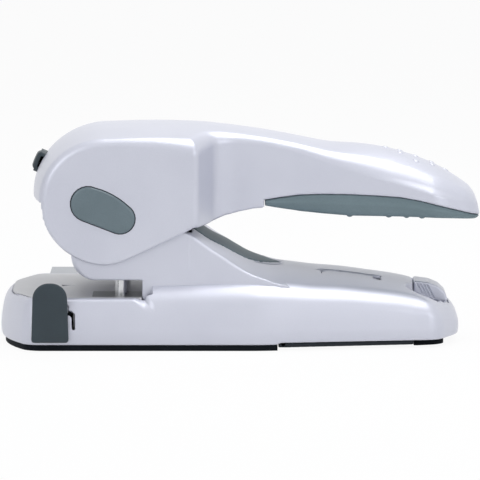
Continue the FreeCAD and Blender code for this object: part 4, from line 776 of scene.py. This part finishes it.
def make_lid():
    """The small lid over the spare parts, with a round end and two ears about its hinge."""
    def field(x, y, z):
        over = base_over(x, y, z, 0.6)
        leaf = np.maximum(over, -over - 2.4)
        edge = block(x, y, z, (47.85, -21.65, 0), (81.55, -10.35, 60), 0.8)
        from_pin = np.hypot(x - LID_PIN[0], z - LID_PIN[1])
        leaf = np.maximum(meet(leaf, edge, 0.35), np.minimum(x - LID_PIN[0], from_pin - 3.9))
        hinge = np.maximum(from_pin - 4.0, np.abs(y + 16) - 5.65)
        ears = block(x, y, z, (75.4, -21.7, 30.4), (79, -10.3, 33.2), 0.3)
        body = join(leaf, np.maximum(np.minimum(hinge, ears), over), 0.3)
        return less(body, nail_notch(x, y), 0.2)

    lid = skin("lid_skin", field, (46, -24, 26), (84, -8, 43), 0.6)
    finish_piece(lid, "silver", "spare_lid", "spare_lid")


def make_latch():
    """The ribbed slide at the right end, with its stem and the nose over the door's catch."""
    outline = Outline([(101.1, 27.2), (113.4, 22.4), (117.6, 21.5), (120.4, 22.0), (120.9, 23.4, 0.5),
                       (119.4, 27.4, 3), (115.6, 30.9, 5), (110, 33.2, 8), (101.3, 34.3, 1.2)],
                      cell=0.2, margin=5)

    def field(x, y, z):
        cap = meet(outline(x, z), np.abs(y) - 12, 1.3)
        for start in (103.6, 105.4, 107.2, 109.0):
            slant = (x - start - (32 - z) * 0.5) * 0.89
            groove = np.maximum(np.abs(slant) - 0.42, 11.1 - np.abs(y))
            groove = np.maximum(groove, outline(x, z) + 1.4)
            cap = less(cap, groove, 0.15)
        stem = block(x, y, z, (103.3, -8, 5.5), (108.7, 8, 32), 0.4)
        nose = block(x, y, z, (99.2, -6, 9.5), (104, 6, 11.7), 0.4)
        return np.minimum(np.minimum(cap, np.maximum(stem, 8 - z)), nose)

    latch = skin("latch_skin", field, (97.5, -14, 6), (122, 14, 38), 0.38)
    finish_piece(latch, "silver", "door_latch", "door_latch")


def make_tab():
    """The upright plate at the end of the paper guide."""
    outline = Outline([(-118.4, 5.2, 1.6), (-97.1, 5.2, 1.6), (-98.1, 39.3, 9.0), (-117.4, 39.3, 9.0)],
                      cell=0.2, margin=4)

    def field(x, y, z):
        return meet(outline(x, z), np.abs(y + 66.6) - 1.3, 0.9)

    tab = skin("tab_skin", field, (-120, -69, 4), (-95.5, -64, 41), 0.6)
    finish_piece(tab, "dark_plastic", "paper_guide", "guide_tab")


def make_door():
    """The floor of the chip space: a leaf with flaps beside its hinge, knuckles round the pin, and a catch."""
    leaf_plan = Outline(both_sides([(27.3, -59.6, 1), (100.3, -46.9, 1.5)]))
    flap_plan = Outline(both_sides([(22.4, -59.8, 0.4), (30, -59.6)]))

    def field(x, y, z):
        plan = np.minimum(leaf_plan(x, y), np.maximum(flap_plan(x, y), 49.6 - np.abs(y)))
        leaf = meet(plan, np.abs(z - 3.05) - 1.5, 0.9)
        across = np.abs(y)
        knuckles = np.minimum(np.maximum(across - 49, 28.4 - across), across - 11.6)
        from_pin = np.hypot(x - DOOR_PIN[0], z - DOOR_PIN[1])
        rolls = meet(from_pin - 1.8, knuckles, 0.3)
        arms = np.maximum(block(x, y, z, (DOOR_PIN[0], -60, 1.7), (28.5, 60, 4.3)), knuckles)
        catch = np.minimum(block(x, y, z, (94, -6, 4), (96.5, 6, 14), 0.3),
                           block(x, y, z, (96, -6, 12), (98.2, 6, 14), 0.4))
        body = np.minimum(np.minimum(leaf, rolls), np.minimum(arms, catch))
        return less(body, from_pin - 1.1, 0.1)

    door = skin("door_skin", field, (21, -62, 0.5), (102, 62, 15.5), 0.9,
                fine=(((21, 30, 0.45),), (), ((0, 6, 0.45),)))
    finish_piece(door, "black_plastic", "chip_door", "chip_door")


make_lever()
make_caps()
make_dots()
make_door()
make_grip()
make_button()
make_tower()
make_spine()
make_base()
make_lid()
make_latch()
make_tab()


# --- Floor, light and camera -----------------------------------------------------------------------------------

def seen_rays(tree, paths):
    """One for rays that show the surroundings: straight from the camera, in reflections and through glass."""
    last = paths.outputs["Is Camera Ray"]
    for kind in ("Is Glossy Ray", "Is Transmission Ray"):
        seen = tree.nodes.new("ShaderNodeMath")
        seen.operation = "MAXIMUM"
        tree.links.new(last, seen.inputs[0])
        tree.links.new(paths.outputs[kind], seen.inputs[1])
        last = seen.outputs[0]
    return seen


FLOOR_SEEN = 0.93    # share of plain white in the floor where it is seen, against its lit surface
WORLD_LIGHT = 0.42   # strength of the surroundings as a light


def make_stage():
    """A white floor that still takes the punch's shadow."""
    bpy.ops.mesh.primitive_plane_add(size=12, location=(0, 0, 0))
    floor = bpy.context.object
    floor.name = "floor"
    made = bpy.data.materials.new("floor")
    made.use_nodes = True
    tree = made.node_tree
    shader = tree.nodes["Principled BSDF"]
    shader.inputs["Base Color"].default_value = (0.9, 0.9, 0.9, 1)
    shader.inputs["Roughness"].default_value = 0.6
    paths = tree.nodes.new("ShaderNodeLightPath")
    seen = seen_rays(tree, paths)
    white = tree.nodes.new("ShaderNodeEmission")
    white.inputs["Color"].default_value = (1, 1, 1, 1)
    white.inputs["Strength"].default_value = 1.0
    mix = tree.nodes.new("ShaderNodeMixShader")
    amount = tree.nodes.new("ShaderNodeMath")
    amount.operation = "MULTIPLY"
    amount.inputs[1].default_value = FLOOR_SEEN
    tree.links.new(seen.outputs[0], amount.inputs[0])
    tree.links.new(amount.outputs[0], mix.inputs[0])
    tree.links.new(shader.outputs[0], mix.inputs[1])
    tree.links.new(white.outputs[0], mix.inputs[2])
    tree.links.new(mix.outputs[0], tree.nodes["Material Output"].inputs["Surface"])
    floor.data.materials.append(made)


def make_world():
    """White surroundings that light the punch more dimly than they look."""
    world = bpy.data.worlds.new("studio")
    bpy.context.scene.world = world
    world.use_nodes = True
    tree = world.node_tree
    dim = tree.nodes["Background"]
    dim.inputs["Color"].default_value = (0.93, 0.95, 1.0, 1)
    dim.inputs["Strength"].default_value = WORLD_LIGHT
    bright = tree.nodes.new("ShaderNodeBackground")
    bright.inputs["Color"].default_value = (1, 1, 1, 1)
    bright.inputs["Strength"].default_value = 1.0
    paths = tree.nodes.new("ShaderNodeLightPath")
    seen = seen_rays(tree, paths)
    mix = tree.nodes.new("ShaderNodeMixShader")
    tree.links.new(seen.outputs[0], mix.inputs[0])
    tree.links.new(dim.outputs[0], mix.inputs[1])
    tree.links.new(bright.outputs[0], mix.inputs[2])
    tree.links.new(mix.outputs[0], tree.nodes["World Output"].inputs["Surface"])


def lamp(name, place, size, watts, colour=(1, 1, 1)):
    """A rectangular lamp, aimed at the middle of the punch."""
    data = bpy.data.lights.new(name, "AREA")
    data.shape = "RECTANGLE"
    data.size, data.size_y = size
    data.energy = watts
    data.color = colour
    light = bpy.data.objects.new(name, data)
    light.location = place
    ahead = Vector((0, 0, 0.05)) - Vector(place)
    light.rotation_euler = ahead.to_track_quat("-Z", "Y").to_euler()
    bpy.context.scene.collection.objects.link(light)


def make_camera():
    """A long lens a little above the punch, 3 m in front of it."""
    data = bpy.data.cameras.new("camera")
    data.sensor_width = 36
    data.lens = 389.6
    data.clip_end = 50
    data.shift_x = 0.002
    camera = bpy.data.objects.new("camera", data)
    camera.location = (0, -3.0, 0.4)
    camera.rotation_euler = (math.radians(83.47), 0, 0)
    bpy.context.scene.collection.objects.link(camera)
    bpy.context.scene.camera = camera


make_stage()
make_world()
lamp("overhead", (0.3, 0.05, 1.3), (1.3, 0.7), 11.5)
lamp("front_left", (-1.1, -1.4, 0.8), (0.9, 0.9), 5.4, (0.97, 0.98, 1))
lamp("front_right", (1.2, -1.4, 0.7), (0.7, 0.7), 4.0, (0.97, 0.98, 1))
make_camera()
bpy.context.scene.view_settings.view_transform = "Standard"
